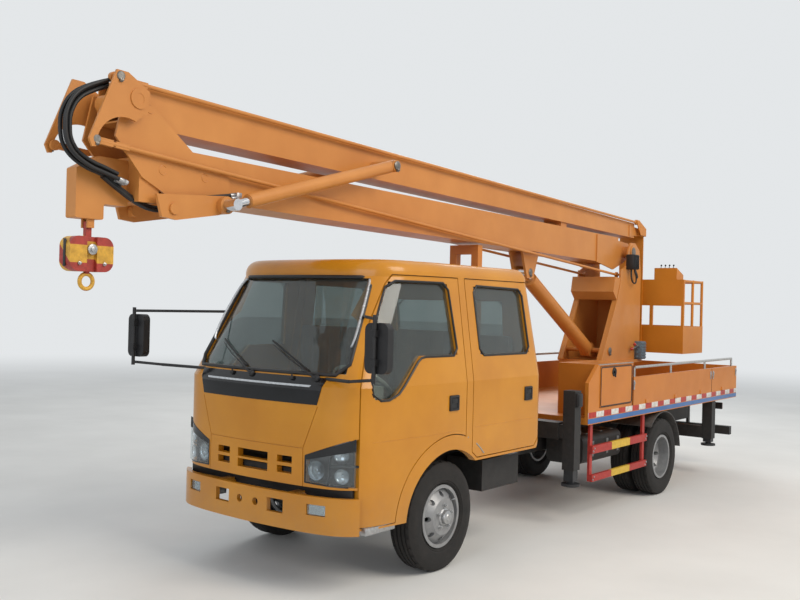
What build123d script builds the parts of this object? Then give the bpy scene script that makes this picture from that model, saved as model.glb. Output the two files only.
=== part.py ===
# Cherry picker truck: crew-cab light truck that carries a folding two-arm boom and a basket.
# Millimetres. +Z is up, +X is the truck's left, the cab faces -Y.
# Sizes along Y are given from the front axle; put() moves them to the frame's own origin.
import os
from math import atan2, cos, degrees, hypot, radians, sin
from build123d import *

# Overall reach along Y, from the front axle
FRONT_REACH = -2510.0
REAR_REACH = 6060.0
Y_SHIFT = -(FRONT_REACH + REAR_REACH) / 2

# Mirrors stand out unevenly, so the middle of the overall width is off the centre line
MIRROR_LEFT = (1000.0, -950.0)
MIRROR_RIGHT = (1150.0, -1140.0)
X_SHIFT = (MIRROR_RIGHT[0] - MIRROR_LEFT[0]) / 2

# Wheels and axles
WHEELBASE = 3815.0
TYRE_R = 387.5
TYRE_W = 196.0
RIM_R = 206.0
RIM_FLANGE_R = 222.0
RIM_W = 165.0
DISC_OFFSET = 106.0
TRACK_FRONT = 1504.0
TRACK_REAR = 1425.0
TWIN_SPACING = 220.0
KINGPIN_X = 600.0
STUB_R = 31.95

# Chassis frame
RAIL_X = 375.0
RAIL_H = 180.0
RAIL_FLANGE = 62.0
RAIL_T = 7.0
RAIL_BOTTOM = 560.0
RAIL_TOP = RAIL_BOTTOM + RAIL_H
RAIL_FRONT = -900.0
RAIL_REAR = 5960.0
SUBFRAME_H = 120.0
SUBFRAME_TOP = RAIL_TOP + SUBFRAME_H

# Cab; its two plan outlines are half outlines from the nose to the straight side
PLAN_LOW = [(0, -1050), (300, -1039), (560, -1010), (735, -950), (820, -860), (865, -680), (900, -350), (915, 0)]
PLAN_TOP = [(0, -665), (300, -648), (560, -592), (675, -525), (745, -415), (775, -260), (800, -80), (810, 100)]
CAB_REAR = 1300.0
CAB_REAR_TOP = 1228.0
CAB_CORNER_R = 115.0
CAB_TOP = 2190.0
CAB_EDGE_Z = 2070.0
CAB_WAIST = 1340.0
CAB_LOW_FRONT = 430.0
CAB_LOW_REAR = 757.0
CAB_WALL = 50.0
REAR_PANEL_X = 700.0
SEAL_START = -690.0
ARCH_R = 480.0
FLARE_R = 590.0
PANEL_GAP = 7.0
DOOR_FRONT = -880.0
DOOR_MID_FRONT = 170.0
DOOR_MID_REAR = 262.0
DOOR_REAR = 1222.0
DOOR_TOP = 2080.0
ROOF_SEAM = 2115.0
FRONT_LOW = 690.0
DOOR_LOW = 450.0
GLASS_T = 6.0
BUMPER_OUT = 38.0
BUMPER_T = 34.0
BUMPER_TOP = 640.0
BUMPER_LOW = 405.0
BUMPER_END = -902.0
# Recesses in the bumper: x from, x to, z from, z to; the outer pair holds the fog lamps
BUMPER_HOLES = [(-325, -185, 500, 590), (185, 325, 500, 590), (-655, -515, 520, 590), (515, 655, 520, 590)]
# Towing holes as (x, z)
TOW_HOLES = [(-76, 546), (76, 546)]
TOW_R = 26.0

# Deck
DECK_FRONT = 2080.0
DECK_REAR = 6050.0
DECK_W = 1860.0
DECK_BOTTOM = SUBFRAME_TOP
DECK_T = 60.0
DECK_TOP = DECK_BOTTOM + DECK_T
SIDE_TOP = 1240.0
SIDE_T = 35.0
REST_Y = 1480.0
REST_Z = 2425.0
REST_HALF = 150.0
RAIL_TUBE_TOP = 1345.0
RAIL_TUBE_R = 14.0
BOX_FRONT = 2285.0
BOX_REAR = 3000.0
BOX_TOP = 1385.0
BOX_INNER_X = 520.0
BOARD_SPLIT = 5190.0

# Outriggers: beams slide out, legs slide down
LEG_FRONT_Y = 1920.0
LEG_REAR_Y = 5330.0
LEG_X = DECK_W / 2 - 75
LEG_SIZE = 90.0
LEG_TOP_FRONT = 1170.0
LEG_TOP_REAR = 850.0
LEG_FOOT = 340.0
BEAM_H = 120.0
BEAM_Z = 813.0
REAR_TUBE_Z = 480.0
BEAM_WALL = 10.0
BEAM_CLEAR = 0.5

# Guards and tanks under the deck
GUARD_X = DECK_W / 2 - 30
GUARD_FRONT = 2215.0
GUARD_REAR = WHEELBASE - 400
TANK_X = DECK_W / 2 - 130
TANK_FRONT = 2250.0
TANK_REAR = WHEELBASE - 765
MUDGUARD_X = DECK_W / 2 - 5
MUDGUARD_R = TYRE_R + 70
UNDERRUN_X = DECK_W / 2 - 50

# Boom geometry in the stowed position, as (y, z)
SLEW_Y = 4300.0
SLEW_Z = 1260.0
PIVOT = (4460.0, 2540.0)
KNUCKLE = (-2195.0, 3010.0)
TIP = (4900.0, 2800.0)
PLATE_LOW = (-2460.0, 2743.0)
PLATE_TOP = (-2320.0, 3115.0)
HOOK_PIVOT = (-2360.0, 2290.0)
LIFT_BASE = (3900.0, 1440.0)
LIFT_EYE = (2490.0, 2230.0)
FOLD_HUB = (15.0, 2915.0)
FOLD_EYE = (-1546.0, 2470.0)
CRANE_FRONT = -2470.0
CRANE_HALF = 48.0
BOOM_WALL = 10.0
LOWER_HALF = 150.0
UPPER_HALF = 120.0
ROD_X = 190.0
TOP_ROD_X = 155.0
ROD_PIN = 12.0
PIN_R = 25.0
KNUCKLE_PIN = 30.0
PIVOT_PIN = 35.0
FIT = 0.06
PLATE_X = 214.0
FOLD_X = 300.0
COLUMN_X = 262.0

# Basket
BASKET_W = 1300.0
BASKET_FRONT = 5012.0
BASKET_REAR = 5640.0
BASKET_FLOOR = 1394.0
BASKET_SKIRT = 1710.0
BASKET_TOP = 2250.0
BAND_LOW = 1945.0
RAIL_MID = 1980.0
POST = 30.0
GUARD_TUBE_R = 16.0


def box(x0, x1, y0, y1, z0, z1):
    """Box between two corners."""
    return Pos((x0 + x1) / 2, (y0 + y1) / 2, (z0 + z1) / 2) * Box(abs(x1 - x0), abs(y1 - y0), abs(z1 - z0))


def side_prism(points, x0, x1):
    """Outline given as (y, z) points, extruded from x0 to x1."""
    face = Plane.YZ * make_face(Polyline(*[(y, z) for y, z in points], close=True))
    return Pos(x0, 0, 0) * extrude(face, x1 - x0)


def x_cylinder(radius, x0, x1, y, z):
    """Round bar along X."""
    return Pos((x0 + x1) / 2, y, z) * Rot(0, 90, 0) * Cylinder(radius, abs(x1 - x0))


def z_cylinder(radius, x, y, z0, z1):
    """Round bar along Z."""
    return Pos(x, y, (z0 + z1) / 2) * Cylinder(radius, abs(z1 - z0))


def bar(radius, a, b, x):
    """Round bar in the side plane x, between two (y, z) points."""
    length = hypot(b[0] - a[0], b[1] - a[1])
    angle = degrees(atan2(b[1] - a[1], b[0] - a[0]))
    mid = ((a[0] + b[0]) / 2, (a[1] + b[1]) / 2)
    return Pos(x, mid[0], mid[1]) * Rot(angle, 0, 0) * Rot(-90, 0, 0) * Cylinder(radius, length)


def tube(radius, a, b):
    """Round bar between two points in space."""
    line = Vector(*b) - Vector(*a)
    return Plane(origin=a, z_dir=line) * Pos(0, 0, line.length / 2) * Cylinder(radius, line.length)


def mirror_x(shape):
    """Copy on the truck's other side."""
    return mirror(shape, about=Plane.YZ)


def both(shape):
    """A left piece with its right copy."""
    return [shape, mirror_x(shape)]


def put(name, *shapes):
    """Write one node, moved from the axle's origin to the frame's."""
    solids = []
    for shape in shapes:
        solids.extend(shape.solids())
    moved = [Pos(X_SHIFT, Y_SHIFT, 0) * s for s in solids]
    whole = moved[0] if len(moved) == 1 else Compound(children=moved)
    export_step(whole, "parts/" + name + ".step")


def between(a, b, share):
    """Point a share of the way from a to b."""
    return (a[0] + (b[0] - a[0]) * share, a[1] + (b[1] - a[1]) * share)


# Chassis frame
def chassis_frame():
    length = RAIL_REAR - RAIL_FRONT
    mid_y = (RAIL_REAR + RAIL_FRONT) / 2
    rail = box(RAIL_X - RAIL_FLANGE, RAIL_X, RAIL_FRONT, RAIL_REAR, RAIL_BOTTOM, RAIL_TOP)
    hollow = Pos(RAIL_X - RAIL_FLANGE / 2 - RAIL_T, mid_y, RAIL_BOTTOM + RAIL_H / 2)
    rail -= hollow * Box(RAIL_FLANGE, length, RAIL_H - 2 * RAIL_T)
    frame = rail + mirror_x(rail)
    for y in (-860, 900, 1900, 2900, 4400, 5200, 5920):
        frame += box(-RAIL_X + RAIL_T, RAIL_X - RAIL_T, y - 35, y + 35, RAIL_BOTTOM + 30, RAIL_TOP - 30)
    return frame


def engine():
    block = box(-250, 250, -430, 440, 470, 860)
    gearbox = box(-140, 140, 439, 840, 480, 765)
    for y in (-120, 700):
        block += box(-RAIL_X + 10, RAIL_X - 10, y - 35, y + 35, RAIL_TOP + 0.3, RAIL_TOP + 25)
    return block + gearbox


def leaf_spring(x, y, half, z_eye, z_mid, width):
    """Arched pack of leaves, seen from the side."""
    top = ThreePointArc((y - half, z_eye), (y, z_mid), (y + half, z_eye))
    under = ThreePointArc((y + half, z_eye - 20), (y, z_mid - 55), (y - half, z_eye - 20))
    right_end = Line((y + half, z_eye), (y + half, z_eye - 20))
    left_end = Line((y - half, z_eye - 20), (y - half, z_eye))
    face = Plane.YZ * make_face([top, right_end, under, left_end])
    return Pos(x - width / 2, 0, 0) * extrude(face, width)


def front_axle():
    beam = box(-KINGPIN_X + 45, KINGPIN_X - 45, -35, 35, TYRE_R - 90, TYRE_R - 20)
    for side in (-1, 1):
        x = side * KINGPIN_X
        eye = z_cylinder(38, x, 0, TYRE_R - 60, TYRE_R + 20)
        arm = box(side * (KINGPIN_X - 60), side * (KINGPIN_X - 10), -30, 30, TYRE_R - 60, TYRE_R + 20)
        beam += eye + arm
        beam -= z_cylinder(16.5, x, 0, TYRE_R - 100, TYRE_R + 60)
        beam += leaf_spring(side * 340, 0, 560, 520, TYRE_R + 35, 60)
        beam += box(side * 340 - 35, side * 340 + 35, -60, 60, TYRE_R - 40, TYRE_R + 20)
        for end in (-560, 560):
            beam += box(side * 340 - 30, side * 340 + 30, end - 25, end + 25, 500, RAIL_BOTTOM - 0.2)
    return beam


def rear_axle():
    y = WHEELBASE
    reach = TRACK_REAR / 2 - TWIN_SPACING / 2 - 130
    axle = x_cylinder(62, -reach, reach, y, TYRE_R)
    axle += x_cylinder(165, -95, 95, y, TYRE_R)
    axle += x_cylinder(STUB_R, -TRACK_REAR / 2 - 22, TRACK_REAR / 2 + 22, y, TYRE_R)
    for side in (-1, 1):
        axle += leaf_spring(side * 345, y, 650, 520, TYRE_R + 90, 70)
        axle += box(side * 345 - 40, side * 345 + 40, y - 70, y + 70, TYRE_R, TYRE_R + 60)
        for end in (y - 650, y + 650):
            axle += box(side * 345 - 30, side * 345 + 30, end - 25, end + 25, 500, RAIL_BOTTOM - 0.2)
    return axle


# Wheels
def tyre(x):
    """Tyre of rounded section, on its rim seat."""
    half = TYRE_W / 2
    bead = RIM_W / 2 - 11
    section = Polyline((RIM_R + 0.3, -bead), (RIM_FLANGE_R + 2, -bead), (RIM_FLANGE_R + 32, -half), (TYRE_R - 60, -half),
                       (TYRE_R - 8, -half + 18), (TYRE_R, -half + 40), (TYRE_R, half - 40),
                       (TYRE_R - 8, half - 18), (TYRE_R - 60, half), (RIM_FLANGE_R + 32, half),
                       (RIM_FLANGE_R + 2, bead), (RIM_R + 0.3, bead), close=True)
    ring = revolve(Plane.XZ * make_face(section), Axis.Z)
    return Pos(x, 0, TYRE_R) * Rot(0, 90, 0) * ring


def rim(x, out, dish):
    """Steel disc wheel; out is the side its disc faces, dish that face's distance from the middle."""
    half = RIM_W / 2
    barrel = Polyline((RIM_R - 8, -half), (RIM_FLANGE_R, -half), (RIM_FLANGE_R, -half + 8),
                      (RIM_R, -half + 10), (RIM_R, half - 10), (RIM_FLANGE_R, half - 8),
                      (RIM_FLANGE_R, half), (RIM_R - 8, half), close=True)
    wheel = revolve(Plane.XZ * make_face(barrel), Axis.Z)
    disc = Polyline((RIM_R - 7, 20), (RIM_R - 7, 44), (128, dish), (STUB_R + FIT, dish),
                    (STUB_R + FIT, dish - 12), (120, dish - 12), (RIM_R - 30, 20), close=True)
    disc = revolve(Plane.XZ * make_face(disc), Axis.Z)
    disc -= PolarLocations(158, 8) * Cylinder(19, 400)
    wheel += disc
    return Pos(x, 0, TYRE_R) * Rot(0, 90 * out, 0) * wheel


def knuckle(side):
    """Steering knuckle: kingpin, its two arms and the stub axle."""
    x = side * KINGPIN_X
    pin = z_cylinder(16, x, 0, TYRE_R - 95, TYRE_R + 55)
    low = z_cylinder(38, x, 0, TYRE_R - 95, TYRE_R - 61)
    top = z_cylinder(38, x, 0, TYRE_R + 21, TYRE_R + 55)
    face = box(x + side * 42, x + side * 66, -45, 45, TYRE_R - 95, TYRE_R + 55)
    tie = box(x, x + side * 66, -36, 36, TYRE_R - 95, TYRE_R - 61)
    tie += box(x, x + side * 66, -36, 36, TYRE_R + 21, TYRE_R + 55)
    stub = x_cylinder(STUB_R, x + side * 60, side * (TRACK_FRONT / 2 + DISC_OFFSET + 4), 0, TYRE_R)
    arm = box(x - side * 8, x + side * 20, 30, 190, TYRE_R - 95, TYRE_R - 70)
    return pin + low + top + face + tie + stub + arm


# Cab
def inward(points, i, inset):
    """Point i of a half outline, moved in by the inset along the outline's normal."""
    if i == 0:
        return (points[0][0], points[0][1] + inset)
    if i == len(points) - 1:
        return (points[i][0] - inset, points[i][1])
    dx = points[i + 1][0] - points[i - 1][0]
    dy = points[i + 1][1] - points[i - 1][1]
    run = hypot(dx, dy)
    return (points[i][0] - inset * dy / run, points[i][1] + inset * dx / run)


def cab_plan(points, tail, inset, z):
    """Cab's plan outline at one height."""
    half = [inward(points, i, inset) for i in range(len(points))]
    side = half[-1][0]
    back = tail - inset
    r = CAB_CORNER_R - inset
    bend = r * (1 - cos(radians(45)))
    left = [Spline(half, tangents=[(1, 0), (0, 1)]),
            Line(half[-1], (side, back - r)),
            ThreePointArc((side, back - r), (side - bend, back - bend), (side - r, back)),
            Line((side - r, back), (0, back))]
    outline = Curve() + left
    return Pos(0, 0, z) * make_face(outline.edges() + mirror(outline, about=Plane.YZ).edges())


def cab_body(inset):
    """Cab's whole form: upright below the waist, leaning in above it, with a rounded roof."""
    low = CAB_LOW_FRONT - 200
    plan_low = cab_plan(PLAN_LOW, CAB_REAR, inset, low)
    waist = cab_plan(PLAN_LOW, CAB_REAR, inset, CAB_WAIST)
    edge = cab_plan(PLAN_TOP, CAB_REAR_TOP, inset, CAB_EDGE_Z)
    roof = extrude(edge, CAB_TOP - inset - CAB_EDGE_Z)
    roof = fillet(roof.edges().group_by(Axis.Z)[-1], 100 - inset)
    return extrude(plan_low, CAB_WAIST - low) + loft([waist, edge], ruled=True) + roof


def cab_trim():
    """What is cut away under the cab: the wheel arches and the raised rear."""
    low = CAB_LOW_FRONT
    arch = x_cylinder(ARCH_R, -1200, 1200, 0, TYRE_R)
    rear = side_prism([(0, 0), (0, CAB_LOW_REAR), (CAB_REAR - 110, CAB_LOW_REAR),
                       (CAB_REAR + 10, CAB_LOW_REAR + 110), (CAB_REAR + 10, 0)], -1200, 1200)
    return arch + rear + box(-1200, 1200, -1300, 1400, 0, low)


def door_prism(front_door, grow):
    """Door's side outline; its lower arc follows the wheel arch. A margin grows it to the opening."""
    g = grow
    if front_door:
        points = [(DOOR_FRONT - g, DOOR_LOW - g), (DOOR_FRONT - g, CAB_WAIST), (-693 - g, 1759), (-530 - g, 2017),
                  (-470 - g, DOOR_TOP + g), (DOOR_MID_FRONT + g, DOOR_TOP + g), (DOOR_MID_FRONT + g, DOOR_LOW - g)]
        return side_prism(points, 450, 1100) - x_cylinder(FLARE_R - g, 400, 1200, 0, TYRE_R)
    low = CAB_LOW_REAR + 25
    points = [(DOOR_MID_REAR - g, low - g), (DOOR_MID_REAR - g, DOOR_TOP + g), (DOOR_REAR - 58 + g, DOOR_TOP + g),
              (DOOR_REAR + g, CAB_WAIST), (DOOR_REAR + g, low + 70 - g), (DOOR_REAR - 70 + g, low - g)]
    return side_prism(points, 735, 1100) - x_cylinder(ARCH_R + 30 - g, 400, 1200, 0, TYRE_R)


def window_prism(front_door, grow):
    """Door's window, grown by a margin."""
    g = grow
    if front_door:
        points = [(-815 - g, 1330), (-655 - g, 1768), (-510 - g, 2037 + g), (30 + g, 2037 + g), (80 + g, 1535 - g),
                  (-327, 1535 - g), (-610, 1262 - g), (-785, 1262 - g)]
    else:
        points = [(382 - g, 1527 - g), (367 - g, 2030 + g), (1058 + g, 2020 + g), (1090 + g, 1527 - g)]
    return side_prism(points, 400, 1200)


SCREEN = [(-706, 1424), (-612, 2055), (612, 2055), (706, 1424)]
REAR_WINDOW = [(-560, 1480), (-560, 1930), (560, 1930), (560, 1480)]
# Air slots in the nose: x from, x to, z from, z to
GRILLE = [(-358, -230, 758, 804), (-358, -230, 826, 872), (-145, 145, 750, 806), (-145, 145, 820, 878),
          (230, 358, 758, 804), (230, 358, 826, 872)]
# Panel joints in the nose, as (x, z) ends
NOSE_LINES = [((552, 1210), (447, 936)), ((447, 936), (452, FRONT_LOW)), ((0, 936), (447, 936))]
LINE_W = 5.0
LINE_DEEP = 5.0


def front_prism(points, y0, y1):
    """Outline given as (x, z) points, extruded from y0 to y1."""
    face = Plane.XZ * make_face(Polyline(*points, close=True))
    return Pos(0, y1, 0) * extrude(face, y1 - y0)


def shrunk(points):
    """Pane's outline, a little inside its opening."""
    middle = (points[0][1] + points[1][1]) / 2
    return [(x * 0.9995, z + (0.4 if z < middle else -0.4)) for x, z in points]


def head_lamp(grow):
    """Left headlamp's outline, wide at the corner."""
    g = grow
    points = [(465 - g, 722 - g), (465 - g, 888 + g), (900, 1052 + g), (900, 706 - g), (640, 706 - g)]
    return front_prism(points, -1200, DOOR_FRONT - PANEL_GAP + g)


def cab_parts():
    """All cab panels, split where the real ones meet."""
    outer = cab_body(0)
    inner = cab_body(CAB_WALL)
    deep = cab_body(CAB_WALL + 12)
    walls = outer - inner
    shell = walls - cab_trim()
    glass_skin = cab_body(CAB_WALL / 2 - GLASS_T / 2) - cab_body(CAB_WALL / 2 + GLASS_T / 2)
    lip = cab_body(CAB_WALL - 3) - deep
    stop = cab_body(CAB_WALL + 0.3) - deep
    parts = {}
    join_y = DOOR_FRONT - PANEL_GAP
    front_zone = side_prism([(-1300, 0), (-1300, 2300), (-400, 2300), (-400, 2060), (-740, 1440),
                             (-827, 1332), (join_y, 1332), (join_y, 0)], -1200, 1200)
    roof_zone = box(-1200, 1200, -1300, 1400, ROOF_SEAM, 2400)
    rear_zone = box(-REAR_PANEL_X, REAR_PANEL_X, 1000, 1400, 0, ROOF_SEAM)
    screen_hole = front_prism(SCREEN, -1400, -300)
    parts["cab_roof"] = (shell & roof_zone) - screen_hole
    front = ((shell - roof_zone) & front_zone) - screen_hole
    front -= box(-1200, 1200, -1300, -800, 0, FRONT_LOW)
    for x0, x1, z0, z1 in GRILLE:
        front -= box(x0, x1, -1100, -900, z0, z1)
    core = cab_body(LINE_DEEP)
    for (xa, za), (xb, zb) in NOSE_LINES:
        if za == zb:
            line = box(xa, xb, -1200, -700, za - LINE_W / 2, za + LINE_W / 2)
        else:
            line = front_prism([(xa - LINE_W / 2, za), (xa + LINE_W / 2, za), (xb + LINE_W / 2, zb),
                                (xb - LINE_W / 2, zb)], -1200, -700)
        line -= core
        front -= line
        front -= mirror_x(line)
    parts["cab_rear"] = ((shell - roof_zone) & rear_zone) - front_prism(REAR_WINDOW, 1000, 1500)
    sides = shell - roof_zone - front_zone - rear_zone
    left = sides & box(400, 1200, -1300, 1400, 0, 2400)
    for front_door, end in ((True, "front"), (False, "rear")):
        opening = door_prism(front_door, PANEL_GAP)
        left -= opening
        front -= opening
        front -= mirror_x(opening)
        frame_edge = door_prism(front_door, PANEL_GAP + 18) - opening
        seal_edge = door_prism(front_door, PANEL_GAP + 18) - door_prism(front_door, -16)
        edge = (lip & frame_edge) + (stop & seal_edge)
        if front_door:
            edge -= box(400, 1200, -1300, SEAL_START, 0, CAB_TOP)
            pillar_zone = side_prism([(-1300, FRONT_LOW), (-1300, 2300), (-400, 2300), (-400, 1990),
                                      (-640, 1440), (-790, 1332), (join_y + 40, 1332), (join_y + 40, FRONT_LOW)],
                                     400, 1200)
            for piece in both(edge & pillar_zone):
                front += piece
            edge -= pillar_zone
            edge -= box(400, 1200, -1300, join_y, 0, FRONT_LOW)
        edge -= box(400, 1200, DOOR_REAR - 40, CAB_REAR + 100, 0, CAB_TOP)
        left += edge
        parts["door_" + end] = (walls & door_prism(front_door, 0)) - window_prism(front_door, 0)
        parts["glass_" + end] = glass_skin & window_prism(front_door, -0.3)
    for lamp in both(head_lamp(0.4)):
        front -= lamp
    parts["lamp"] = walls & head_lamp(0)
    parts["cab_sides"] = left
    parts["cab_front"] = front
    screen = glass_skin & front_prism(shrunk(SCREEN), -1400, -300)
    back = glass_skin & front_prism(shrunk(REAR_WINDOW), 1000, 1500)
    parts["cab_glass"] = [screen, back]
    return parts


def cab_floor():
    """Floor pan, stepped over the wheel arches, on its mounting pads."""
    t = 40
    tail = CAB_REAR - CAB_WALL
    top = [(-980, 785), (-ARCH_R - 60, 785), (-ARCH_R + 40, 930), (ARCH_R - 20, 930), (ARCH_R + 20, 840),
           (tail, 840)]
    under = [(y, z - t) for y, z in reversed(top)]
    floor = side_prism(top + under, -1000, 1000) & cab_body(CAB_WALL + 12.3)
    for side in (-1, 1):
        floor -= box(side * 640, side * 1000, -1100, SEAL_START, 600, 1000)
    for side in (-1, 1):
        x = side * (RAIL_X - 25)
        floor += box(x - 22, x + 22, -860, -800, RAIL_TOP + 0.3, 750)
        floor += box(x - 22, x + 22, 1060, 1130, RAIL_TOP + 0.3, 805)
    return floor


def bumper():
    """Front bumper, bowed like the cab's nose, on two brackets."""
    height = BUMPER_TOP - BUMPER_LOW
    shell = extrude(cab_plan(PLAN_LOW, CAB_REAR, -BUMPER_OUT, BUMPER_LOW), height)
    shell -= extrude(cab_plan(PLAN_LOW, CAB_REAR, BUMPER_T - BUMPER_OUT, BUMPER_LOW - 10), height + 20)
    shell &= box(-1200, 1200, -1300, BUMPER_END, 0, 1000)
    for x0, x1, z0, z1 in BUMPER_HOLES:
        shell -= box(x0, x1, -1200, -880, z0, z1)
    for x, z in TOW_HOLES:
        shell -= Pos(x, -1060, z) * Rot(90, 0, 0) * Cylinder(TOW_R, 200)
    for side in (-1, 1):
        shell += box(side * 315, side * 370, -1045, RAIL_FRONT - 0.3, 580, 635)
    return shell


def lamps(front_lamp):
    x0, x1, z0, z1 = BUMPER_HOLES[3]
    band = extrude(cab_plan(PLAN_LOW, CAB_REAR, 12 - BUMPER_OUT, 400), 400)
    band -= extrude(cab_plan(PLAN_LOW, CAB_REAR, BUMPER_T - BUMPER_OUT, 390), 420)
    fog = band & box(x0 + 0.3, x1 - 0.3, -1200, -900, z0 + 0.3, z1 - 0.3)
    tail = box(560, 780, DECK_REAR - 50, DECK_REAR - 10, 700, 780)
    tail += box(650, 690, DECK_REAR - 40, DECK_REAR - 20, 779, DECK_BOTTOM - 0.3)
    return both(front_lamp) + both(fog) + both(tail)


def seats():
    rows = []
    for x in (-500, 0, 500):
        rows.append(box(x - 225, x + 225, -330, 130, 930.3, 1110))
        rows.append(box(x - 220, x + 220, 130.3, 235, 1060, 1700))
    rows.append(box(-700, 700, 660, 1070, 840.3, 1130))
    rows.append(box(-700, 700, 1070.3, 1170, 900, 1650))
    return rows


def dashboard():
    panel = box(-820, 820, -1010, -620, 1080, 1340) & cab_body(CAB_WALL + 40)
    panel += box(-300, 300, -1010, -900, 1150, 1250) & cab_body(CAB_WALL + 0.3)
    wheel = Pos(480, -480, 1330) * Rot(-35, 0, 0) * Torus(205, 16)
    hub = Pos(480, -480, 1330) * Rot(-35, 0, 0) * Cylinder(60, 30)
    spokes = Pos(480, -480, 1330) * Rot(-35, 0, 0) * Box(400, 30, 14)
    column = bar(28, (-480, 1330), (-680, 1190), 480)
    return panel + wheel + hub + spokes + column


def mirrors():
    """Mirrors on tube arms from the front corner and the windscreen pillar."""
    body = cab_body(-0.3)
    pieces = []
    for side, x, y in ((1, *MIRROR_LEFT), (-1, *MIRROR_RIGHT)):
        head = box(side * (x - 92), side * (x + 92), y - 28, y + 28, 1450, 1765)
        head = fillet(head.edges().filter_by(Axis.Y), 45)
        back = y - 46
        piece = head + tube(13, (side * x, back, 1390), (side * x, back, 1815))
        piece += tube(10, (side * x, back, 1412), (side * (x - 160), -1040, 1395))
        piece += tube(11, (side * (x - 155), -1043, 1395), (side * 560, -960, 1390))
        piece += tube(10, (side * x, back, 1790), (side * 600, -640, 1800))
        for z in (1500, 1680):
            piece += box(side * (x - 22), side * (x + 22), back - 18, y - 20, z, z + 40)
        pieces.append(piece - body)
    return pieces


# Deck and what stands on it
def deck():
    """Deck on its two bearers, with side boards, the slewing pedestal and the boom rest."""
    half = DECK_W / 2
    floor = box(-half, half, DECK_FRONT, DECK_REAR, DECK_BOTTOM, DECK_TOP)
    for side in (-1, 1):
        floor += box(side * (RAIL_X - 60), side * RAIL_X, LEG_FRONT_Y + 100, DECK_REAR - 100, RAIL_TOP + 0.2,
                     DECK_BOTTOM + 1)
        for y0, y1 in ((BOX_REAR + 40, BOARD_SPLIT), (BOARD_SPLIT + 12, DECK_REAR)):
            floor += box(side * (half - SIDE_T), side * half, y0, y1, DECK_TOP - 1, SIDE_TOP)
    floor += box(-half, half, DECK_REAR - SIDE_T, DECK_REAR, DECK_TOP - 1, SIDE_TOP)
    floor += z_cylinder(330, 0, SLEW_Y, DECK_TOP - 1, SLEW_Z - 0.3)
    rest = box(-RAIL_X, RAIL_X, REST_Y - 50, REST_Y + 50, RAIL_TOP + 0.2, RAIL_TOP + 80)
    for side in (-1, 1):
        rest += box(side * (REST_HALF - 70), side * REST_HALF, REST_Y - 35, REST_Y + 35, RAIL_TOP + 79, REST_Z - 80)
    rest += box(-REST_HALF, REST_HALF, REST_Y - 35, REST_Y + 35, REST_Z - 81, REST_Z)
    return floor, rest


def handrails():
    x = DECK_W / 2 - SIDE_T / 2
    top = RAIL_TUBE_TOP - RAIL_TUBE_R
    rail = bar(RAIL_TUBE_R, (BOX_REAR + 80, top), (5900, top), x)
    for y in (BOX_REAR + 80, 4000, 5000, 5900):
        rail += z_cylinder(RAIL_TUBE_R - 2, x, y, SIDE_TOP + 0.3, top)
    return both(rail)


def tool_box():
    """Lockers with a slanted front, open to the side behind their doors."""
    half = DECK_W / 2
    outline = [(BOX_FRONT, BOX_TOP), (BOX_REAR, BOX_TOP), (BOX_REAR, DECK_TOP + 0.3), (BOX_FRONT, DECK_TOP + 0.3)]
    locker = side_prism(outline, BOX_INNER_X, half)
    locker += side_prism([(DECK_FRONT, DECK_TOP + 0.3), (BOX_FRONT + 1, DECK_TOP + 0.3), (BOX_FRONT + 1, BOX_TOP),
                          (BOX_FRONT - 20, BOX_TOP), (DECK_FRONT, SIDE_TOP - 10)], half - SIDE_T, half)
    locker -= box(BOX_INNER_X + 15, half + 10, BOX_FRONT + 35, BOX_REAR - 35, DECK_TOP + 95, BOX_TOP - 35)
    locker -= box(half - 14.3, half + 10, BOX_FRONT + 15, BOX_REAR - 15, DECK_TOP + 75, BOX_TOP - 15)
    return both(locker)


def tool_door(side):
    x = side * (DECK_W / 2)
    return box(x - side * 14, x + side * 6, BOX_FRONT + 21, BOX_REAR - 21, DECK_TOP + 81, BOX_TOP - 21)


# Outriggers
def sleeve(side, y, low, top):
    """Square sleeve that guides one leg."""
    s = LEG_SIZE / 2 + 12
    c = LEG_SIZE / 2 + BEAM_CLEAR
    outer = box(side * LEG_X - s, side * LEG_X + s, y - s, y + s, low, top)
    return outer - box(side * LEG_X - c, side * LEG_X + c, y - c, y + c, low - 20, top - 12)


def outrigger_housings():
    """Front cross tube that holds the beams, and the rear one with its fixed sleeves."""
    out = BEAM_H / 2 + BEAM_CLEAR + 12
    hole = BEAM_H / 2 + BEAM_CLEAR
    y = LEG_FRONT_Y
    reach = LEG_X - 95
    tube = box(-reach, reach, y - out, y + out, BEAM_Z - out, BEAM_Z + out)
    tube -= box(-LEG_X, LEG_X, y - hole, y + hole, BEAM_Z - hole, BEAM_Z + hole)
    y = LEG_REAR_Y
    x = LEG_X - LEG_SIZE / 2 - 11
    rear = box(-x, x, y - 60, y + 60, REAR_TUBE_Z - 55, RAIL_BOTTOM - 0.2)
    for side in (-1, 1):
        rear += sleeve(side, y, REAR_TUBE_Z - 60, LEG_TOP_REAR)
    return [tube, rear]


def beam(side):
    """Front sliding beam with its leg's sleeve at the end."""
    h = BEAM_H / 2
    y = LEG_FRONT_Y
    x_in = side * 60
    x_out = side * (LEG_X - LEG_SIZE / 2 - 11)
    tube = box(x_in, x_out, y - h, y + h, BEAM_Z - h, BEAM_Z + h)
    tube -= box(x_in - side * 10, x_out - side * 20, y - h + BEAM_WALL, y + h - BEAM_WALL,
                BEAM_Z - h + BEAM_WALL, BEAM_Z + h - BEAM_WALL)
    return tube + sleeve(side, y, 480, LEG_TOP_FRONT)


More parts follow.
